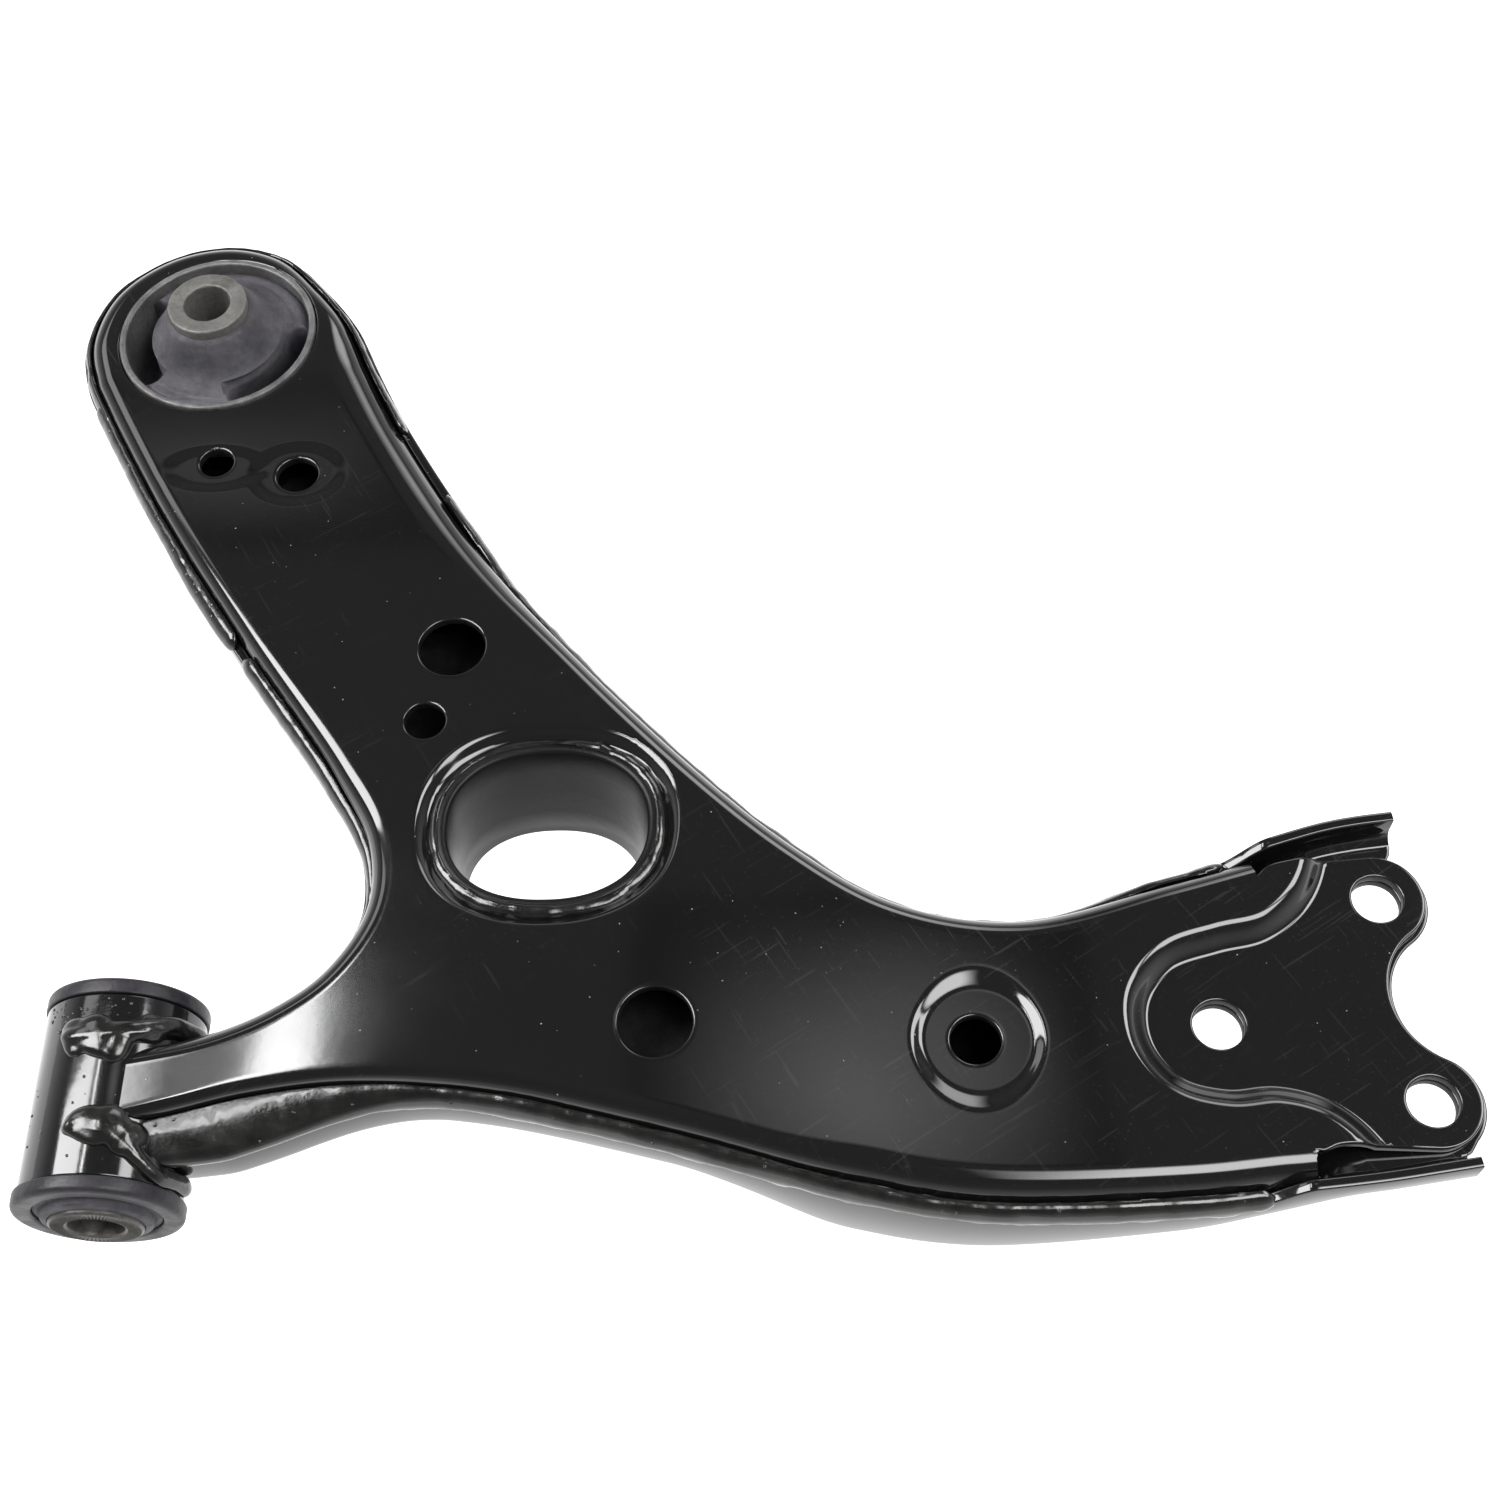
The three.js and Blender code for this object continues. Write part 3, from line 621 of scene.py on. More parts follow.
class Nodes:
    """A material being put together."""

    def __init__(self, name):
        self.material = bpy.data.materials.new(name)
        self.material.use_nodes = True
        self.tree = self.material.node_tree
        self.shader = self.tree.nodes["Principled BSDF"]
        self.place = self.new("ShaderNodeTexCoord").outputs["Object"]

    def new(self, kind, **values):
        node = self.tree.nodes.new(kind)
        for key, value in values.items():
            setattr(node, key, value)
        return node

    def link(self, source, target):
        self.tree.links.new(source, target)

    def noise(self, scale, detail=4, roughness=0.55, stretch=None):
        node = self.new("ShaderNodeTexNoise")
        node.inputs["Scale"].default_value = scale
        node.inputs["Detail"].default_value = detail
        node.inputs["Roughness"].default_value = roughness
        place = self.place
        if stretch is not None:
            turn = self.new("ShaderNodeMapping", vector_type="TEXTURE")
            turn.inputs["Scale"].default_value = [1 / share for share in stretch[0]]
            turn.inputs["Rotation"].default_value = (0, 0, math.radians(stretch[1]))
            self.link(place, turn.inputs["Vector"])
            place = turn.outputs["Vector"]
        self.link(place, node.inputs["Vector"])
        return node.outputs["Fac"]

    def cells(self, scale):
        """Distance to the nearest of scattered points."""
        node = self.new("ShaderNodeTexVoronoi")
        node.inputs["Scale"].default_value = scale
        self.link(self.place, node.inputs["Vector"])
        return node.outputs["Distance"]

    def ramp(self, value, *stops, interpolation="LINEAR"):
        node = self.new("ShaderNodeValToRGB")
        band = node.color_ramp
        band.interpolation = interpolation
        while len(band.elements) < len(stops):
            band.elements.new(0.5)
        for element, (position, level) in zip(band.elements, stops):
            element.position = position
            colour = level if isinstance(level, tuple) else (level, level, level)
            element.color = (*colour, 1)
        self.link(value, node.inputs["Fac"])
        return node.outputs["Color"]

    def mix(self, factor, a, b):
        node = self.new("ShaderNodeMix", data_type="RGBA")
        for socket, value in ((node.inputs[6], a), (node.inputs[7], b)):
            if isinstance(value, tuple):
                socket.default_value = (*value, 1)
            else:
                self.link(value, socket)
        self.link(factor, node.inputs[0])
        return node.outputs[2]

    def calculate(self, operation, a, b):
        node = self.new("ShaderNodeMath", operation=operation)
        for socket, value in zip(node.inputs, (a, b)):
            if isinstance(value, (int, float)):
                socket.default_value = value
            else:
                self.link(value, socket)
        return node.outputs[0]

    def times(self, a, b):
        return self.calculate("MULTIPLY", a, b)

    def plus(self, a, b):
        return self.calculate("ADD", a, b)

    def bump(self, height, strength, distance):
        node = self.new("ShaderNodeBump")
        node.inputs["Strength"].default_value = strength
        node.inputs["Distance"].default_value = distance
        self.link(height, node.inputs["Height"])
        self.link(node.outputs["Normal"], self.shader.inputs["Normal"])

    def values(self, **values):
        for key, value in values.items():
            self.shader.inputs[key.replace("_", " ")].default_value = value

    def feed(self, colour, rough):
        self.link(colour, self.shader.inputs["Base Color"])
        self.link(rough, self.shader.inputs["Roughness"])


def gloss_black(name, rough, texture, dust, shine=0.5, coat=0.25):
    """Black electrocoat: gloss, a faint orange peel, dust specks and fine scratches."""
    look = Nodes(name)
    look.values(Metallic=0.0, IOR=1.5, Specular_IOR_Level=shine, Coat_Weight=coat,
                Coat_Roughness=0.05, Coat_IOR=1.5)
    chance = look.ramp(look.noise(95, 2), (0.47, 0.0), (0.58, 1.0))
    dot = look.ramp(look.cells(230), (0.03, 1.0), (0.065, 0.0))
    powder = look.ramp(look.cells(520), (0.06, 1.0), (0.16, 0.0))
    veil = look.ramp(look.noise(14, 3), (0.42, 0.0), (0.75, 1.0))
    marks = look.ramp(look.noise(200, 1, stretch=((0.22, 5.0, 1), 33)), (0.69, 0.0), (0.71, 1.0))
    cross = look.ramp(look.noise(170, 1, stretch=((0.3, 6.0, 1), -58)), (0.69, 0.0), (0.71, 1.0))
    speck = look.times(dot, chance)
    haze = look.times(powder, veil)
    scratch = look.times(look.plus(marks, cross), veil)
    base = look.mix(look.times(speck, 0.7 * dust), (0.0042, 0.0042, 0.0045), (0.20, 0.19, 0.18))
    base = look.mix(look.times(haze, 0.16 * dust), base, (0.12, 0.12, 0.12))
    base = look.mix(look.times(scratch, 0.07 * dust), base, (0.16, 0.16, 0.16))
    polish = look.ramp(look.noise(30, 5), (0.3, rough * 0.75), (0.7, rough * 1.35))
    look.feed(base, look.mix(speck, polish, (0.6, 0.6, 0.6)))
    peel = look.plus(look.times(look.noise(420, 3), 0.6), look.times(look.noise(70, 2), 1.4))
    look.bump(peel, texture, 0.0004)
    return look.material


def painted_shade_black():
    """Painted shade: a dull, weakly reflecting black for the walls of punched holes and the floor seen
    through them, standing in for the shade there.
    """
    look = Nodes("painted_hole_shade")
    look.values(Metallic=0.0, IOR=1.5, Specular_IOR_Level=0.22)
    tone = look.ramp(look.noise(300, 5), (0.4, (0.004, 0.004, 0.004)), (0.7, (0.012, 0.011, 0.011)))
    look.feed(tone, look.ramp(look.noise(200, 3), (0.3, 0.4), (0.7, 0.6)))
    look.bump(look.noise(800, 4), 0.4, 0.0002)
    return look.material


def weld_black():
    """The same coat over a weld bead: livelier, with spatter grain."""
    look = Nodes("weld_black")
    look.values(Metallic=0.0, IOR=1.5, Coat_Weight=0.25, Coat_Roughness=0.05, Coat_IOR=1.5)
    tone = look.ramp(look.noise(180, 5), (0.35, (0.003, 0.003, 0.003)), (0.8, (0.010, 0.010, 0.009)))
    look.feed(tone, look.ramp(look.noise(260, 3), (0.3, 0.10), (0.75, 0.26)))
    grain = look.plus(look.noise(900, 4, 0.6), look.times(look.noise(260, 3), 2.2))
    look.bump(grain, 0.07, 0.0006)
    return look.material


def steel(name, low, high, rough, metallic):
    """Coated or phosphated steel: blotchy tone, fine grain."""
    look = Nodes(name)
    look.values(Metallic=metallic, IOR=1.5, Specular_IOR_Level=0.24)
    blotch = look.plus(look.times(look.noise(70, 6, 0.65), 0.7), look.times(look.noise(700, 3), 0.3))
    polish = look.ramp(look.noise(160, 4), (0.3, rough * 0.8), (0.7, rough * 1.25))
    look.feed(look.ramp(blotch, (0.36, low), (0.64, high)), polish)
    grain = look.plus(look.noise(900, 2), look.times(look.noise(500, 4), 0.8))
    look.bump(grain, 0.35, 0.00025)
    return look.material


def rubber(name):
    """Moulded rubber with a bloom: mottled grey-violet, matt."""
    look = Nodes(name)
    look.values(Metallic=0.0, IOR=1.5, Specular_IOR_Level=0.28)
    patches = look.plus(look.times(look.noise(48, 5, 0.62), 0.75), look.times(look.noise(420, 4), 0.25))
    tone = look.ramp(patches, (0.36, (0.018, 0.017, 0.020)), (0.52, (0.038, 0.036, 0.043)),
                     (0.68, (0.072, 0.069, 0.078)))
    grime = look.ramp(look.noise(110, 4), (0.56, 0.0), (0.74, 1.0))
    tone = look.mix(look.times(grime, 0.35), tone, (0.03, 0.026, 0.022))
    look.feed(tone, look.ramp(look.noise(130, 4), (0.3, 0.48), (0.7, 0.7)))
    skin = look.plus(look.noise(650, 6, 0.65), look.times(look.noise(90, 4), 1.6))
    look.bump(skin, 0.5, 0.0006)
    return look.material


PAINT = gloss_black("paint_black", 0.08, 0.018, 1.0)
TUBE_PAINT = gloss_black("paint_tube", 0.11, 0.12, 0.7)
COLLAR_PAINT = gloss_black("paint_collar", 0.32, 0.20, 0.4, 0.17, 0.0)
WELD = weld_black()
# Painted shade for hole walls and for the floor seen through the holes.
HOLE_SHADE = painted_shade_black()
COATED = steel("coated_ring", (0.007, 0.0065, 0.008), (0.020, 0.018, 0.022), 0.40, 0.0)
SLEEVE = steel("sleeve_phosphate", (0.060, 0.058, 0.054), (0.14, 0.136, 0.128), 0.42, 0.35)
DARK_SLEEVE = steel("sleeve_dark", (0.020, 0.019, 0.018), (0.070, 0.066, 0.060), 0.38, 0.3)
RIM = steel("can_rim", (0.05, 0.049, 0.050), (0.13, 0.128, 0.128), 0.40, 0.3)
RUBBER = rubber("bush_rubber")


# ---------------------------------------------------------------- pressings

STEP = 1.4
SHELL_LINE = smooth(OUTER_EDGE + REAR_END + INNER_EDGE, STEP)
FRONT_LINE = smooth(FRONT_EDGE, STEP)


def shoulder_at(line, front):
    """Bend radius along the upper shell's edge."""
    x, y = line[:, 0], line[:, 1]
    if front:
        near_neck = (NECK_SHOULDER - SHOULDER) * (1 - smoothstep(x, 60, 115))
        return SHOULDER + near_neck + (OUTBOARD_SHOULDER - SHOULDER) * smoothstep(x, 175, 205)
    outer_side = x > 35 + 0.5 * (200 - y)
    soft = smoothstep(y, 130, 200) * (1 - smoothstep(y, 248, 272)) * outer_side
    return SHOULDER + (REAR_SHOULDER - SHOULDER) * soft


def upper_wall_rows(line, radius, end):
    """Sections of the upper shell's edge, from its top face over the wall to its underside."""
    normals = normals_of(line)
    rows = []
    for point, normal, r in zip(line, normals, radius):
        base = point - normal * r
        top = plate_top(base[None])[0]
        out, down = quarter(r, 11)
        drop = min(r, OUTBOARD_SHOULDER) / r
        section = [(r - o, top - d * drop) for o, d in zip(out, down)]
        section += [(0, end + WALL_EDGE), (0.17 * WALL_EDGE, end + 0.17 * WALL_EDGE),
                    (WALL_EDGE, end), (SHEET - WALL_EDGE, end), (SHEET, end + WALL_EDGE)]
        bend = max(r - SHEET, 1.2)
        inner, rise = quarter(bend, 6)
        lift = min(bend, OUTBOARD_SHOULDER - SHEET) / bend
        section += [(SHEET + bend - o, top - SHEET - d * lift)
                    for o, d in zip(inner[::-1], rise[::-1])]
        rows.append([(*(point - normal * inset), z) for inset, z in section])
    return np.array(rows)


def free_edge_rows(line, top_of):
    """A cut sheet edge along an open line: rounded top, wall, rounded bottom."""
    normals = normals_of(line)
    out, down = quarter(SHEET_EDGE, 5)
    rows = []
    for point, normal in zip(line, normals):
        base = point - normal * SHEET_EDGE
        high = top_of(base[None])[0]
        column = [(*(base + normal * o), high - d) for o, d in zip(out, down)]
        column += [(*(base + normal * o), high - SHEET + d)
                   for o, d in zip(out[::-1], down[::-1])]
        rows.append(column)
    return np.array(rows)


def cover_both(build, loop, holes, extra, spacing, top_of, under=None):
    """The top and under faces of a sheet between its edge strips."""
    points, faces = covered(loop, holes, extra, spacing)
    build.add(np.column_stack([points, top_of(points)]), faces.tolist())
    if under is not None:
        points, faces = covered(*under, extra, spacing)
    build.add(np.column_stack([points, top_of(points) - SHEET]), faces[:, ::-1].tolist())


def feature_points():
    """Rows of points along the ledge and round the dishes, where the plate bends sharply."""
    ledge = resampled(LEDGE_LINE, 1.3)
    rows = [push_out(ledge, d) for d in np.linspace(-6, 6, 19)]
    rows += [oval(SHEET + g, count=150) for g in np.linspace(0.9, 7.4, 11)]
    rows += [arc(ROUND_SEAT["at"], r, 0, 359, 1.3) for r in np.linspace(13, 25, 19)]
    for share in np.linspace(0.66, 1.08, 12):
        rows.append(OVAL_SEAT["at"] + circle(84) * OVAL_SEAT["rim"] * share)
    for share in np.linspace(0.55, 1.08, 9):
        ring = SMALL_SEAT["at"] + circle(84) * SMALL_SEAT["rim"] * share
        clear = np.hypot(*((ring - OVAL_SEAT["at"]) / OVAL_SEAT["rim"]).T) > 1.1
        rows.append(ring[clear])
    return np.vstack(rows)


def upper_shell():
    """The upper pressing: a pan with its rim bent down."""
    build = Build()
    front = FRONT_LINE[FRONT_LINE[:, 0] < 311]
    front = np.vstack([front, smooth([tuple(front[-1]), (314.5, -30.2), (318, -29.9)], 1.2)[1:]])
    front_rows = upper_wall_rows(front, shoulder_at(front, True), UPPER_WALL_END)
    rest = SHELL_LINE
    rest_rows = upper_wall_rows(rest, shoulder_at(rest, False), UPPER_WALL_END)
    # The wall dies away at both relief notches, because the keel rises there.
    for rows in (front_rows, rest_rows):
        lift = keel_at(rows[:, :, 0]) + SHEET + GAP
        rows[:, :, 2] = np.maximum(rows[:, :, 2], np.minimum(lift, -SHEET - 0.5))
    free = np.vstack([
        smooth([tuple(front_rows[-1, 0, :2]), (319.5, -22.6), (324, -20.9), (334, -20.6)], 1.2)[1:],
        pad_lobes(0, -90, 90),
        smooth([(335, 63.3), (323, 61.3), (316, 59.4), tuple(rest_rows[0, 0, :2])], 1.2)])
    free_rows = free_edge_rows(free, plate_top)
    neck_rows = free_edge_rows(NECK_END, plate_top)
    build.strip(front_rows)
    build.strip(free_rows)
    build.strip(rest_rows)
    build.strip(neck_rows)
    # Ends of the walled stretches, closed to the cut edges beside them.
    build.cap(np.vstack([front_rows[-1], free_rows[0][::-1]]))
    build.cap(np.vstack([rest_rows[0][::-1], free_rows[-1]]))
    build.cap(np.vstack([rest_rows[-1], neck_rows[0][::-1]]))
    build.cap(np.vstack([front_rows[0][::-1], neck_rows[-1]]))
    loop, under_loop = (
        np.vstack([front_rows[:, k], free_rows[:, k], rest_rows[:, k], neck_rows[:, k]])[:, :2]
        for k in (0, -1))
    rings = [round_ring(at, r) for at, r in PLATE_HOLES + PAD_HOLE_SET] + [oval(SHEET + GAP)]
    edges = [open_hole(build, ring, plate_top) for ring in rings]
    rear_ring = round_ring(REAR_CENTRE, REAR_CAN_R + GAP, 1.3)
    edges.append(open_hole(build, rear_ring, plate_top, BURR_BOTTOM))
    holes = [edge for edge, _ in edges]
    under = [low_edge for _, low_edge in edges]
    cover_both(build, loop, holes, feature_points(), 3.2, plate_top, (under_loop, under))
    return cut_by(build.weld(), tube_clearance())


def tube_clearance():
    """The cutter that makes room in both pressings for the front bush's tube."""
    build = Build()
    ring = (TUBE_R - 0.05) * circle(128)
    rows = [[(x, y, TUBE_AXIS_Z + z) for x, z in ring] for y in (-70.0, 70.0)]
    build.strip(rows, ring=True)
    build.cap(rows[0])
    build.cap(rows[1])
    return build.weld()


def neck_flare(x):
    return NECK_FLARE * (1 - smoothstep(x, 30, 92)) * (0.75 + 0.25 * smoothstep(x, 12, 34))


def flange_top(x):
    return FLANGE_TOP + (PAD_FLANGE_TOP - FLANGE_TOP) * smoothstep(x, 303, 317)


def hidden_drop(line):
    """How much lower the flange stands round the inner bay and along the outer edge."""
    x, y = line[:, 0], line[:, 1]
    bay = (1 - smoothstep(y, 55, 105)) * (x < 85)
    outer = smoothstep(x, 84, 100) * (1 - smoothstep(x, 262, 288))
    return BAY_DROP * bay + OUTER_DROP * outer


def lower_wall_rows(line, drop=0.0):
    """Sections of the lower shell's edge, from its underside over the wall to its inside floor."""
    normals = normals_of(line)
    drops = np.broadcast_to(drop, len(line))
    rows = []
    for point, normal, down in zip(line, normals, drops):
        base = point - normal * FLOOR_BEND
        bottom = floor_under(base[None])[0]
        top = float(flange_top(point[0])) - down
        out, rise = quarter(FLOOR_BEND, 8)
        section = [(FLOOR_BEND - o, bottom + r) for o, r in zip(out, rise)]
        section += [(inset, top - fall) for inset, fall in FLANGE_EDGE]
        section += [(SHEET - inset, top - fall) for inset, fall in FLANGE_EDGE[::-1]]
        inner, lift = quarter(FLOOR_BEND - SHEET + 1, 6)
        section += [(FLOOR_BEND + 1 - o, bottom + SHEET + r)
                    for o, r in zip(inner[:0:-1], lift[:0:-1])]
        section.append((FLOOR_BEND, bottom + SHEET))
        rows.append([(*(point - normal * inset), z) for inset, z in section])
    return np.array(rows)


def lower_shell():
    """The lower pressing: an upward channel round the upper one's rim."""
    build = Build()
    reach = GAP + SHEET
    front = push_out(FRONT_LINE, reach + neck_flare(FRONT_LINE[:, 0]))
    front = smooth([tuple(p) for p in front[::6]] + [(335, -31.2), (348, -29.3), (359.2, -27.6)], STEP)
    rest = push_out(SHELL_LINE, reach)
    rest = smooth([(352, 75.2), (341, 73.8), (331, 71.8)] + [tuple(p) for p in rest[6::6]]
                  + [tuple(rest[-1])], STEP)
    front_rows = lower_wall_rows(front)
    rest_rows = lower_wall_rows(rest, hidden_drop(rest))
    free = np.vstack([
        smooth([tuple(front_rows[-1, 0, :2] + [0.3, 0.4]), (360.2, -20.3)], 1.2),
        pad_lobes(LOWER_PAD_MARGIN, -42, 68),
        smooth([(352.6, 66.6), tuple(rest_rows[0, 0, :2] + [0.3, -0.4])], 1.2)])

    def inside_floor(xy):
        return floor_under(xy) + SHEET

    free_rows = free_edge_rows(free, inside_floor)
    neck_rows = free_edge_rows(NECK_END, inside_floor)
    build.strip(front_rows)
    build.strip(free_rows)
    build.strip(rest_rows)
    build.strip(neck_rows)
    build.cap(np.vstack([front_rows[-1], free_rows[0]]))
    build.cap(np.vstack([rest_rows[0], free_rows[-1]]))
    build.cap(np.vstack([rest_rows[-1], neck_rows[0]]))
    build.cap(np.vstack([front_rows[0], neck_rows[-1]]))
    top_loop = np.vstack([front_rows[:, -1], free_rows[:, 0], rest_rows[:, -1], neck_rows[:, 0]])
    loop = top_loop[:, :2]
    rings = [round_ring(at, r) for at, r in PAD_HOLE_SET]
    rings += [oval(SHEET + GAP, BOSS_LEVEL), round_ring(REAR_CENTRE, REAR_CAN_R + GAP, 1.3)]
    holes = [open_hole(build, ring, inside_floor)[0] for ring in rings]
    ledge = resampled(LEDGE_LINE, 2.2)
    extra = [push_out(ledge, d) for d in np.linspace(-2, 15, 9)]
    extra += [oval(SHEET + g, count=110) for g in np.linspace(1.2, 11, 8)]
    cover_both(build, loop, holes, np.vstack(extra), 4.5, inside_floor)
    return cut_by(build.weld(), tube_clearance())


# ---------------------------------------------------------------- welds

def lumps(count, seed, sizes, heights, closed=False):
    """Smooth random numbers along a bead; sizes are in stations, heights in millimetres."""
    rng = np.random.default_rng(seed)
    total = np.zeros(count)
    for size, height in zip(sizes, heights):
        knots = max(4, int(count / size) + 2)
        values = rng.normal(0, height, knots)
        at = np.linspace(0, knots - 1, count)
        if closed:
            values[-1] = values[0]
        low = np.minimum(at.astype(int), knots - 2)
        t = smoothstep(at - low, 0, 1)
        total += values[low] * (1 - t) + values[low + 1] * t
    return total


def bead_mesh(feet, outs, ups, section, closed=False, seed=1, swell=0.22, hem=0.5, taper=6,
              spread=None, open_start=False):
    """A lumpy bead: `section` holds (out, up, give, hem share, spread share) round its outline."""
    count = len(feet)
    build = Build()
    whole = lumps(count, seed, (3, 8, 24), (0.35 * swell, 0.8 * swell, swell), closed)
    lower = lumps(count, seed + 1, (4, 10, 22), (0.3 * swell, 0.8 * swell, swell), closed)
    own = [lumps(count, seed + 2 + k, (3, 9), (0.12 * swell, 0.3 * swell), closed)
           for k in range(len(section))]
    drip = lumps(count, seed + 90, (3, 9, 30), (0.45 * hem, hem, 0.7 * hem), closed)
    shrink = np.ones(count)
    if not closed:
        ends = np.minimum(np.arange(count), np.arange(count)[::-1]) / taper
        if open_start:
            ends = np.arange(count)[::-1] / taper
        shrink = np.sqrt(np.clip(1 - (1 - np.clip(ends, 0, 1)) ** 2, 0.02, 1))
    middle_out = np.mean([s[0] for s in section])
    middle_up = np.mean([s[1] for s in section])
    calm = np.ones(count) if spread is None else 1 / (1 + 0.5 * np.clip(spread, 0, None))
    rows = []
    for i in range(count):
        row = []
        for k, (out, up, give, hang, share) in enumerate(section):
            blend = k / (len(section) - 1)
            push = give * calm[i] * (whole[i] * (1 - blend) + lower[i] * blend + own[k][i])
            length = math.hypot(out - middle_out, up - middle_up) + 1e-6
            o = middle_out + (out - middle_out) * (1 + push / length) * shrink[i]
            u = middle_up + (up - middle_up) * (1 + push / length) * shrink[i]
            u -= hang * calm[i] * (drip[i] + 0.3 * hem) * shrink[i]
            if spread is not None:
                o += share * spread[i]
            row.append(feet[i] + outs[i] * o + ups[i] * u)
        rows.append(row)
    build.strip(rows, closed=closed, ring=True)
    if not closed:
        build.cap(rows[0])
        build.cap(rows[-1][::-1])
    return build.weld()


def edge_bead(line, seed, spread, open_start=False):
    """The fillet on the lower shell's flange, against the upper shell's wall."""
    line = resampled(line, 0.7)
    count = len(line)
    outs = np.column_stack([normals_of(line), np.zeros(count)])
    ups = np.tile([0.0, 0.0, 1.0], (count, 1))
    section = [
        (0.2, -0.2, 0, 0, 0), (0.25, 3.3, 0.5, 0, 0), (1.2, 3.5, 0.9, 0, 0.12),
        (2.3, 3.0, 1, 0, 0.4), (3.4, 2.0, 1, 0, 0.8), (4.2, 0.7, 0.9, 0.15, 1),
        (4.5, -0.9, 0.7, 0.6, 1), (4.3, -2.1, 0.5, 1.0, 1), (3.5, -2.5, 0.2, 1.0, 1),
        (3.4, 0.1, 0, 0, 1)]
    level = FLANGE_TOP - (0 if open_start else hidden_drop(line))
    feet = np.column_stack([line, np.broadcast_to(level, count)])
    return bead_mesh(feet, outs, ups, section, seed=seed, spread=spread(line),
                     open_start=open_start)


def front_spread(line):
    return neck_flare(line[:, 0])


def outer_spread(line):
    return np.full(len(line), -0.9)


def rear_spread(line):
    return np.full(len(line), -1.7)


def inner_rear_spread(line):
    return 0.9 * smoothstep(line[:, 1], 138, 150) * (1 - smoothstep(line[:, 1], 165, 182)) - 0.4


def inner_front_spread(line):
    return -1.2 * (1 - smoothstep(line[:, 1], 52, 95)) - 0.3


def blobs(places, seed):
    """Frozen drops of weld: each place is (foot, normal, radius, height)."""
    rng = np.random.default_rng(seed)
    build = Build()
    around = np.linspace(0, 2 * np.pi, 14, endpoint=False)
    for foot, normal, radius, height in places:
        normal = np.array(normal, float) / np.linalg.norm(normal)
        side = np.cross(normal, [0.31, 0.87, 0.38])
        side /= np.linalg.norm(side)
        other = np.cross(normal, side)
        phases = rng.uniform(0, 2 * np.pi, 3)
        rows = []
        for lift in np.radians([-25, 0, 20, 40, 58, 74, 86]):
            wobble = 1 + 0.10 * np.sin(2 * around + phases[0]) + 0.07 * np.sin(3 * around + phases[1])
            flat = radius * math.cos(lift) * wobble
            up = height * math.sin(lift) * (1 + 0.08 * np.sin(around + phases[2]))
            rows.append(np.array(foot) + np.outer(flat * np.cos(around), side)
                        + np.outer(flat * np.sin(around), other) + np.outer(up, normal))
        build.strip(rows, ring=True)
        build.cap(rows[0])
        build.cap(rows[-1][::-1])
    return build.weld(1e-5)


def on_tube(degrees, y):
    """A place on the tube's skin and the way out of it."""
    a = math.radians(degrees)
    way = np.array([math.sin(a), 0, math.cos(a)])
    return way * TUBE_R + [0, y, TUBE_AXIS_Z], way


def tube_spatter(count, degrees, y, seed):
    """Fine drops scattered over a patch of the tube."""
    rng = np.random.default_rng(seed)
    places = []
    for _ in range(count):
        foot, way = on_tube(rng.uniform(*degrees), rng.uniform(*y))
        radius = rng.uniform(0.15, 0.5)
        places.append((foot, way, radius, 0.7 * radius))
    return blobs(places, seed)


def bead_spatter(line, spread, count, seed):
    """Drops that sit on a bead's slope."""
    rng = np.random.default_rng(seed)
    line = resampled(line, 0.7)
    normals = normals_of(line)
    width = spread(line)
    places = []
    for _ in range(count):
        i = rng.integers(6, len(line) - 6)
        share = rng.uniform(0.0, 1.0)
        out = 1.4 + (2.4 + width[i]) * share
        z = FLANGE_TOP + 3.4 - 2.5 * share ** 1.5
        radius = rng.uniform(0.25, 0.7)
        places.append(((*(line[i] + normals[i] * out), z), (*(0.5 * normals[i]), 0.85),
                       radius, 0.55 * radius))
    return blobs(places, seed)


def ring_bead(height, side, seed):
    """A bead round the oval collar, on the sheet's face."""
    ring = oval(SHEET, height, count=260)
    normals = normals_of(ring, True)
    outs = np.column_stack([normals, np.zeros(len(ring))])
    ups = np.tile([0.0, 0.0, float(side)], (len(ring), 1))
    feet = np.column_stack([ring, np.full(len(ring), height)])
    section = [(-0.15, 0, 0, 0, 0), (2.6, -0.1, 0.7, 0, 0), (2.4, 0.7, 1, 0, 0),
               (1.7, 1.35, 1, 0, 0), (0.8, 1.8, 1, 0, 0), (-0.1, 1.95, 0.8, 0, 0),
               (-0.5, 1.5, 0.5, 0, 0)]
    return bead_mesh(feet, outs, ups, section, closed=True, seed=seed, swell=0.42)


def tube_bead(route, seed, half=3.0, height=2.5, swell=0.6):
    """A bead laid on the tube along [degrees round from the top, y] points."""
    points = []
    for degrees, y in route:
        a = math.radians(degrees)
        points.append((TUBE_R * math.sin(a), y, TUBE_R * math.cos(a)))
    line = smooth(points, 0.8)
    radial = line * [1, 0, 1]
    ups = radial / np.linalg.norm(radial, axis=1)[:, None]
    along = np.gradient(line, axis=0)
    along /= np.linalg.norm(along, axis=1)[:, None]
    outs = np.cross(along, ups)
    feet = ups * TUBE_R + line * [0, 1, 0] + [0, 0, TUBE_AXIS_Z]
    section = [(-half, -0.2, 0, 0, 0), (-0.85 * half, 0.5 * height, 1, 0, 0),
               (-0.4 * half, 0.92 * height, 1, 0, 0), (0.3 * half, height, 1, 0, 0),
               (0.8 * half, 0.55 * height, 1, 0, 0), (half, -0.2, 0, 0, 0)]
    return bead_mesh(feet, outs, ups, section, seed=seed, swell=swell, taper=5)


# ---------------------------------------------------------------- bushes

FRONT_CAN_R = TUBE_R - TUBE_WALL - GAP
FRONT_CAN_INNER = FRONT_CAN_R - FRONT_CAN_WALL


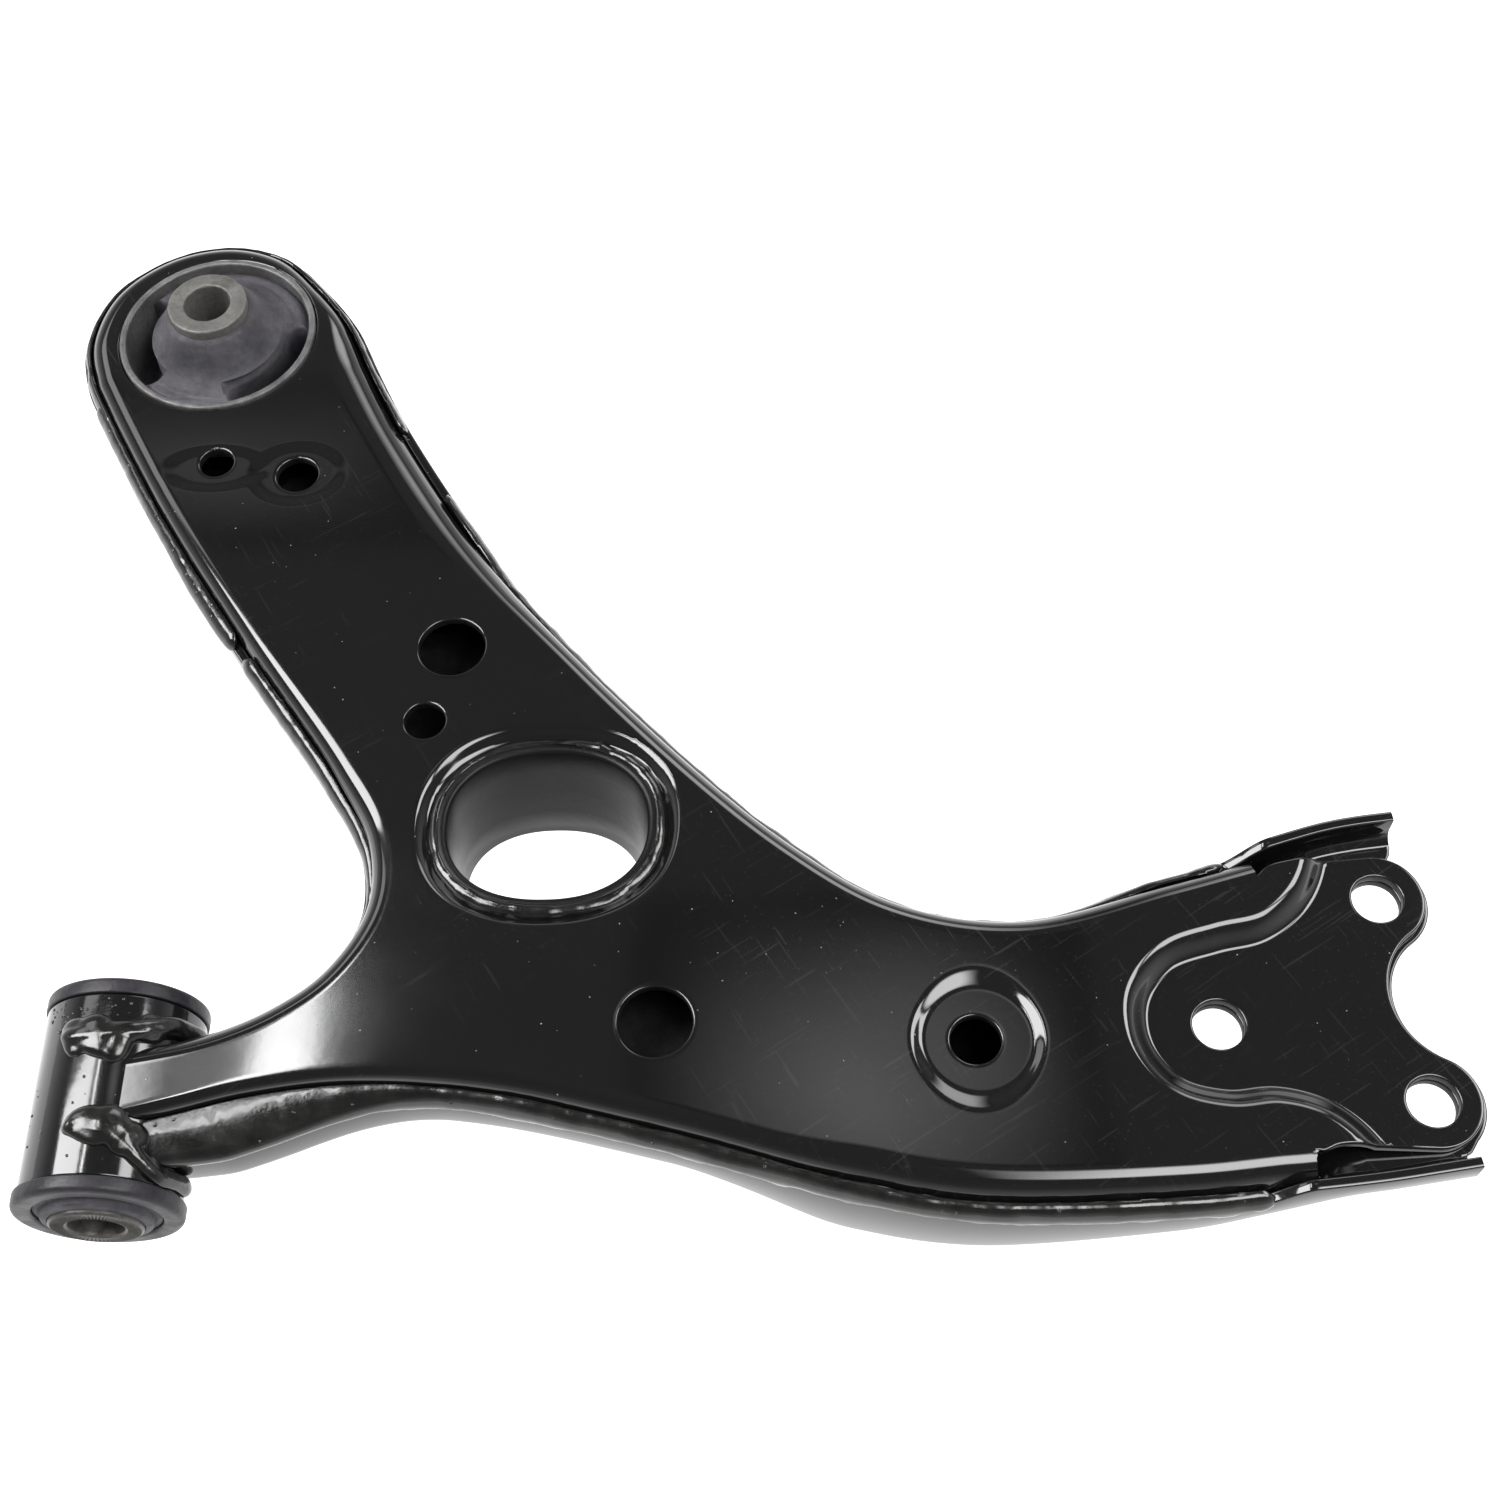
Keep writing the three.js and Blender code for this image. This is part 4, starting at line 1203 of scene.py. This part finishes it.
def serrated(teeth, depth, inner, outer):
    """Shapes a sleeve's end faces: radial teeth between two radii."""
    def shape(r, h, a):
        end = abs(h) > FRONT_SLEEVE_HALF - 1e-6
        if end and inner < r < outer:
            wave = abs(((a * teeth / (2 * np.pi)) % 1) - 0.5) * 2
            h -= math.copysign(depth * wave, h)
        return r, h
    return shape


def front_bush():
    back = -TUBE_HALF - GAP
    can = rounded([
        (FRONT_CAN_INNER, -BUSH_HALF), (FRONT_RING_R, -BUSH_HALF), (FRONT_RING_R, back),
        (FRONT_CAN_R, back), (FRONT_CAN_R, BUSH_HALF - 0.5), (FRONT_CAN_INNER, BUSH_HALF - 0.5)],
        (1.2, 2.6, 0.5, 0.3, 0.4, 0.4), 6)
    piece("front_bush_can", turned(can, 200, True), COATED, "arm",
          ["front_bush_outer_sleeve"])
    ring = rounded([
        (FRONT_CAN_R + GAP, TUBE_HALF + GAP), (REAR_RING_R, TUBE_HALF + GAP),
        (REAR_RING_R, BUSH_HALF), (FRONT_CAN_R + GAP, BUSH_HALF)], (0.3, 0.5, 1.6, 0.3), 6)
    piece("front_bush_end_ring", turned(ring, 200, True), COATED, "arm",
          ["front_bush_rear_ring"])
    face = BUSH_HALF - 1
    outer, inner = FRONT_CAN_INNER - 0.1, FRONT_SLEEVE_R + 0.1
    soft = rounded([
        (inner, -FRONT_BOSS_HALF), (FRONT_BOSS_R, -FRONT_BOSS_HALF + 0.6),
        (FRONT_BOSS_R + 0.6, -face), (outer, -face), (outer, face), (FRONT_BOSS_R + 0.6, face),
        (FRONT_BOSS_R, FRONT_BOSS_HALF - 0.6), (inner, FRONT_BOSS_HALF)],
        (0.2, 0.7, 0.6, 0.2, 0.2, 0.6, 0.7, 0.2), 4)
    rubber_piece("front_bush_rubber_ring", turned(soft, 160, True),
                 "front_bush_rubber", (0, 0, TUBE_AXIS_Z))
    end = FRONT_SLEEVE_HALF
    bore, r = FRONT_BORE_R, FRONT_SLEEVE_R
    half = [(bore, end - 1.5), (bore + 0.25, end - 0.5), (bore + 0.9, end), (bore + 1.2, end),
            (0.5 * (bore + r), end), (r - 1.0, end), (r - 0.7, end - 0.05), (r - 0.1, end - 0.5),
            (r, end - 1.2)]
    profile = half + [(a, -b) for a, b in reversed(half)]
    teeth = serrated(64, 0.4, bore + 1.0, r - 0.8)
    piece("front_bush_sleeve", turned(profile[::-1], 512, True, radius_at=teeth), DARK_SLEEVE,
          "front_sleeve", ["front_bush_inner_sleeve"])


def rubber_piece(name, mesh, node, centre):
    """A bonded rubber, made as its own piece with its transform baked into the mesh."""
    thing = piece(name, mesh, RUBBER, None, [node], angle=50)
    origin = placed([centre])[0]
    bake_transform(thing)
    away = coordinates(thing.data) - origin


def rear_rubber():
    outer, inner = REAR_CAN_R - REAR_CAN_WALL - 0.1, REAR_SLEEVE_R + 0.1
    top = smooth([(outer, -3.6), (outer - 1.6, -2.2), (outer - 4.5, -2.0), (24.5, -1.4),
                  (20.5, 1.2), (17.6, 4.9), (15.4, 8.8), (14.2, 10.6), (inner, 11.4)], 0.7)
    bottom = [(inner, -34), (inner + 3, -33.5), (19, -27), (outer - 4, -24), (outer, -23)]
    profile = [tuple(p) for p in top] + bottom
    mesh = turned(profile, 200, centre=REAR_CENTRE)
    for start, end, near, far in ((152, 212, 21.4, 30.6), (-66, -2, 21.8, 30.6)):
        mesh = cut_by(mesh, kidney(start, end, near, far))
    rubber_piece("rear_bush_rubber_cone", mesh, "rear_bush_rubber",
                 (*REAR_CENTRE, 0))


def kidney(start, end, near, far):
    """A slot through the rubber with round ends and a flared lip at its top."""
    middle, half = 0.5 * (near + far), 0.5 * (far - near)
    ends = [arc(tuple(middle * np.array([math.cos(math.radians(a)), math.sin(math.radians(a))])),
                half, a + turn, a + turn + 180, 0.6) for a, turn in ((end, 0), (start, 180))]
    ring = np.vstack([arc((0, 0), far, start, end, 1.0)[1:-1], ends[0][1:-1],
                      arc((0, 0), near, end, start, 1.0)[1:-1], ends[1][1:-1]])
    lean = [(-21, 0), (-6, 0), (-3.4, 0.15), (-2.4, 0.7), (-1.6, 1.7), (0.6, 3.0)]
    build = Build()
    rows = [np.column_stack([push_out(ring, d, True) + REAR_CENTRE, np.full(len(ring), z)])
            for z, d in lean]
    build.strip(rows, ring=True)
    build.cap(rows[0])
    build.cap(rows[-1][::-1])
    return build.weld()


def rear_bush():
    can = rounded([
        (REAR_CAN_R - REAR_CAN_WALL, REAR_CAN_BOTTOM), (REAR_CAN_R, REAR_CAN_BOTTOM),
        (REAR_CAN_R, REAR_CAN_TOP), (REAR_CAN_R - REAR_CAN_WALL, REAR_CAN_TOP)], 0.9, 6)
    piece("rear_bush_can", turned(can, 240, centre=REAR_CENTRE), RIM, "arm",
          ["rear_bush_outer_sleeve"])
    rear_rubber()
    profile = rounded([
        (REAR_BORE_R, REAR_SLEEVE_BOTTOM), (REAR_SLEEVE_R, REAR_SLEEVE_BOTTOM),
        (REAR_SLEEVE_R, REAR_SLEEVE_TOP), (REAR_BORE_R, REAR_SLEEVE_TOP)],
        (0.7, 0.7, 0.8, 0.9), 5)
    piece("rear_bush_sleeve", turned(profile, 160, centre=REAR_CENTRE), SLEEVE,
          "rear_sleeve", ["rear_bush_inner_sleeve"])


# ---------------------------------------------------------------- the arm's pieces

def oval_collar():
    """The tapered tube through both pressings."""
    edge = [(SHEET, COLLAR_BOTTOM + 0.4), (SHEET - 0.4, COLLAR_BOTTOM), (0.5, COLLAR_BOTTOM),
            (0.1, COLLAR_BOTTOM + 0.5), (0, -30), (0, -20), (0, -10), (0, COLLAR_TOP - 1.2),
            (0.25, COLLAR_TOP - 0.5), (0.8, COLLAR_TOP - 0.1), (1.5, COLLAR_TOP),
            (SHEET - 0.4, COLLAR_TOP - 0.1), (SHEET, COLLAR_TOP - 0.5), (SHEET, -10), (SHEET, -25)]
    build = Build()
    rows = [np.column_stack([oval(grow, z, count=200), np.full(200, z)]) for grow, z in edge]
    build.strip(np.transpose(rows, (1, 0, 2)), closed=True, ring=True)
    return build.weld()


def tube():
    inner = TUBE_R - TUBE_WALL
    profile = rounded([(inner, -TUBE_HALF), (TUBE_R, -TUBE_HALF), (TUBE_R, TUBE_HALF),
                       (inner, TUBE_HALF)], 0.5, 4)
    return turned(profile, 220, True)


def near_holes(places, holes, reach=0.12):
    """Which face middles lie within a hole's radius and this much more."""
    found = np.zeros(len(places), bool)
    for at, r in holes:
        found |= np.hypot(*(places[:, :2] - at).T) < r + reach
    return found


# The upper pressing's hole walls, which get painted shade.
def upper_shaded_hole_walls(places):
    return near_holes(places, PLATE_HOLES + PAD_HOLE_SET)


def lower_shaded_faces(places):
    """Faces given painted shade: the pad's hole walls, and the closed section's floor where the plate
    holes show it.
    """
    inner_face = places[:, 2] > floor_under(places[:, :2]) + SHEET / 2
    return near_holes(places, PAD_HOLE_SET) | (near_holes(places, PLATE_HOLES, 12) & inner_face)


def weld_piece(name, mesh, node):
    piece(name, mesh, WELD, "arm", [node], angle=70)


# The pressings' hole walls, and the floor seen through the holes, get painted shade.
piece("upper_pressing", upper_shell(), PAINT, "arm", ["upper_shell"], angle=50,
      shaded_faces=upper_shaded_hole_walls)
piece("lower_pressing", lower_shell(), PAINT, "arm", ["lower_shell"], angle=50,
      shaded_faces=lower_shaded_faces)
piece("collar", oval_collar(), COLLAR_PAINT, "arm", ["oval_collar"], angle=50)
piece("bush_tube", tube(), TUBE_PAINT, "arm", ["front_bush_tube"])

front_run = FRONT_LINE[(FRONT_LINE[:, 0] > 11) & (FRONT_LINE[:, 0] < 308)]
outer_line = smooth(OUTER_EDGE, STEP)
outer_run = outer_line[(outer_line[:, 0] < 306) & (outer_line[:, 1] < 196)]
rear_line = smooth([p for p in OUTER_EDGE if p[1] > 200] + REAR_END + [(-35.3, 236), (-30, 226)],
                   STEP)
inner_line = smooth(INNER_EDGE, STEP)
inner_rear_run = inner_line[inner_line[:, 1] > 142]
inner_front_run = inner_line[(inner_line[:, 1] < 138) & (inner_line[:, 0] > 22)]

for name, run, node, seed, spread, drops in (
        ("front_edge_bead", front_run, "front_edge_weld", 11, front_spread, 24),
        ("outer_edge_bead", outer_run, "outer_edge_weld", 23, outer_spread, 0),
        ("rear_end_bead", rear_line, "rear_end_weld", 37, rear_spread, 0),
        ("inner_edge_rear_bead", inner_rear_run, "inner_edge_rear_weld", 41, inner_rear_spread, 14),
        ("inner_edge_front_bead", inner_front_run, "inner_edge_front_weld", 59,
         inner_front_spread, 0)):
    bead = edge_bead(run, seed, spread, open_start=node == "front_edge_weld")
    if drops:
        bead = joined(bead, bead_spatter(run, spread, drops, seed + 5))
    weld_piece(name, bead, node)

weld_piece("collar_bead_top", ring_bead(-DISH_DEPTH + 0.1, 1, 67), "collar_weld_top")
weld_piece("collar_bead_bottom", ring_bead(BOSS_LEVEL, -1, 71), "collar_weld_bottom")

front_route = [(-8, -12), (10, -12.8), (25, -15.2), (42, -19.6), (56, -22.1), (75, -22.2), (97, -22)]
front_drops = [(*on_tube(-9, -12.4), 2.5, 2.7), (*on_tube(4, -12.0), 6.2, 2.2),
               (*on_tube(18, -12.0), 6.2, 2.8), (*on_tube(31, -14.6), 5.4, 2.5)]
front_bead = fused(joined(tube_bead(front_route, 83, swell=0.4), blobs(front_drops, 5)), 30)
weld_piece("tube_bead_front", joined(front_bead, tube_spatter(26, (-60, 60), (-24, 6), 19)),
           "tube_front_weld")
rear_route = [(-28, 13), (0, 13.4), (20, 14.4), (40, 16.6), (56, 18.4), (75, 19), (97, 19.4)]
rear_drops = [(*on_tube(-16, 13.2), 5.6, 1.9), (*on_tube(-2, 12.9), 6.6, 2.5),
              (*on_tube(12, 11.6), 5.8, 2.6), (*on_tube(34, 16.2), 5.0, 2.2)]
rear_bead = fused(joined(tube_bead(rear_route, 97, 3.2, 2.7, 0.5), blobs(rear_drops, 6)), 24)
rear_bead = joined(rear_bead, tube_spatter(60, (-50, 20), (15, 24), 29),
                   tube_spatter(110, (-24, 14), (8, 18), 31))
weld_piece("tube_bead_rear", rear_bead, "tube_rear_weld")
weld_piece("tube_bead_under", tube_bead([(114.5, -15), (115, 0), (114.5, 12)], 101),
           "tube_bottom_weld")

front_bush()
rear_bush()


# ---------------------------------------------------------------- stage, light and camera

EYE = placed([CAMERA_AT])[0]


def staged(name, corners, material):
    """A four-cornered face of the stage, with a unit square for its UV map."""
    data = bpy.data.meshes.new(name)
    data.from_pydata([tuple(p) for p in corners], [], [(0, 1, 2, 3)])
    layer = data.uv_layers.new(name="square")
    for loop, place in zip(layer.data, ((0, 0), (1, 0), (1, 1), (0, 1))):
        loop.uv = place
    data.materials.append(material)
    thing = bpy.data.objects.new(name, data)
    bpy.context.collection.objects.link(thing)


def floor():
    size = 6.0
    level = float(CAD_BOX[0][2]) - 0.0005
    corners = [(-size, -size, level), (size, -size, level), (size, size, level), (-size, size, level)]
    look = Nodes("floor_white")
    look.values(Base_Color=(0.1, 0.1, 0.1, 1), Roughness=1.0, Specular_IOR_Level=0.0,
                Emission_Color=(1, 1, 1, 1), Emission_Strength=FLOOR_GLOW)
    staged("floor", corners, look.material)


def panel(name, corner, along, across, glow, soft=0.12):
    """A self-lit diffuser with soft edges: a corner and two sides, in metres in the row frame."""
    corner, along, across = (np.array(v, float) for v in (corner, along, across))
    look = Nodes(name)
    look.tree.nodes.remove(look.shader)
    split = look.new("ShaderNodeSeparateXYZ")
    look.link(look.new("ShaderNodeUVMap").outputs["UV"], split.inputs[0])
    stops = ((0, 0), (soft, 1), (1 - soft, 1), (1, 0))
    fade, cross_fade = (look.ramp(split.outputs[axis], *stops, interpolation="EASE")
                        for axis in ("X", "Y"))
    shine = look.new("ShaderNodeEmission")
    look.link(look.times(look.times(fade, cross_fade), glow), shine.inputs["Strength"])
    look.link(shine.outputs[0], look.tree.nodes["Material Output"].inputs["Surface"])
    staged(name, [corner, corner + along, corner + along + across, corner + across], look.material)


def mirrored(x, y):
    """The ceiling point that the camera sees mirrored in the main plate at (x, y)."""
    point = placed([(x, y, 0)])[0]
    rise = (CEILING - point[2]) / (EYE[2] - point[2])
    return point[:2] + rise * (point[:2] - EYE[:2])


def overhead(name, x_range, y_range, glow, soft=0.12):
    """A ceiling panel placed by where its reflection lies on the main plate, in drawing mm."""
    low = mirrored(x_range[0], y_range[0])
    high = mirrored(x_range[1], y_range[1])
    panel(name, (*low, CEILING), (high[0] - low[0], 0, 0), (0, high[1] - low[1], 0), glow, soft)


def diffusers():
    overhead("neck_strip_near", (41, 60), (-120, 55), 24, 0.08)
    overhead("neck_strip_dim", (17, 42), (-120, 55), 2.0, 0.04)
    overhead("left_box", (-360, 18), (-240, 55), 15, 0.05)
    panel("left_rear_box", (-1.8, 0.62, CEILING), (0.95, 0, 0), (0, 0.9, 0), 3, 0.1)
    overhead("plate_gleam", (140, 268), (-60, 52), 1.5, 0.5)
    overhead("rear_gleam", (-80, 90), (172, 240), 0.5, 0.5)
    panel("front_right", (0.09, -0.88, CEILING), (1.45, 0, 0), (0, 0.82, 0), 11, 0.2)
    panel("back_right", (0.76, -0.06, CEILING), (0.9, 0, 0), (0, 0.9, 0), 11, 0.12)
    panel("rear_right", (0.1, 1.9, 0.7), (1.5, 0, 0), (0, 0, 1.4), 5, 0.3)


def surroundings():
    """A dim room whose walls glow softly above a bright table."""
    world = bpy.data.worlds.new("studio")
    bpy.context.scene.world = world
    world.use_nodes = True
    tree = world.node_tree
    background = tree.nodes["Background"]
    place = tree.nodes.new("ShaderNodeTexCoord")
    axis = tree.nodes.new("ShaderNodeSeparateXYZ")
    ramp = tree.nodes.new("ShaderNodeValToRGB")
    tree.links.new(place.outputs["Generated"], axis.inputs[0])
    tree.links.new(axis.outputs["Z"], ramp.inputs["Fac"])
    tree.links.new(ramp.outputs["Color"], background.inputs["Color"])
    band = ramp.color_ramp
    for position, level in ((0.30, 0.42), (0.75, 0.10)):
        band.elements.new(position)
    for element, (position, level) in zip(
            band.elements, ((0.0, 1.0), (0.12, 0.85), (0.45, 0.22), (0.8, 0.12))):
        element.position = position
        element.color = (level, level, level, 1)
    background.inputs["Strength"].default_value = 1.0


def camera():
    aim = placed([CAMERA_AIM])[0]
    forward = (aim - EYE) / np.linalg.norm(aim - EYE)
    level = np.cross(forward, [0, 0, 1])
    level /= np.linalg.norm(level)
    up = np.cross(level, forward)
    roll = math.radians(CAMERA_ROLL)
    side = math.cos(roll) * level + math.sin(roll) * up
    top = -math.sin(roll) * level + math.cos(roll) * up
    data = bpy.data.cameras.new("camera")
    data.sensor_width = 36
    data.lens = CAMERA_LENS
    data.clip_start = 0.01
    thing = bpy.data.objects.new("camera", data)
    bpy.context.collection.objects.link(thing)
    thing.matrix_world = Matrix([(*row, c) for row, c in zip(
        np.column_stack([side, top, -forward]), EYE)] + [(0, 0, 0, 1)])
    bpy.context.scene.camera = thing


camera()
floor()
surroundings()
diffusers()
bpy.context.scene.view_settings.view_transform = "Standard"
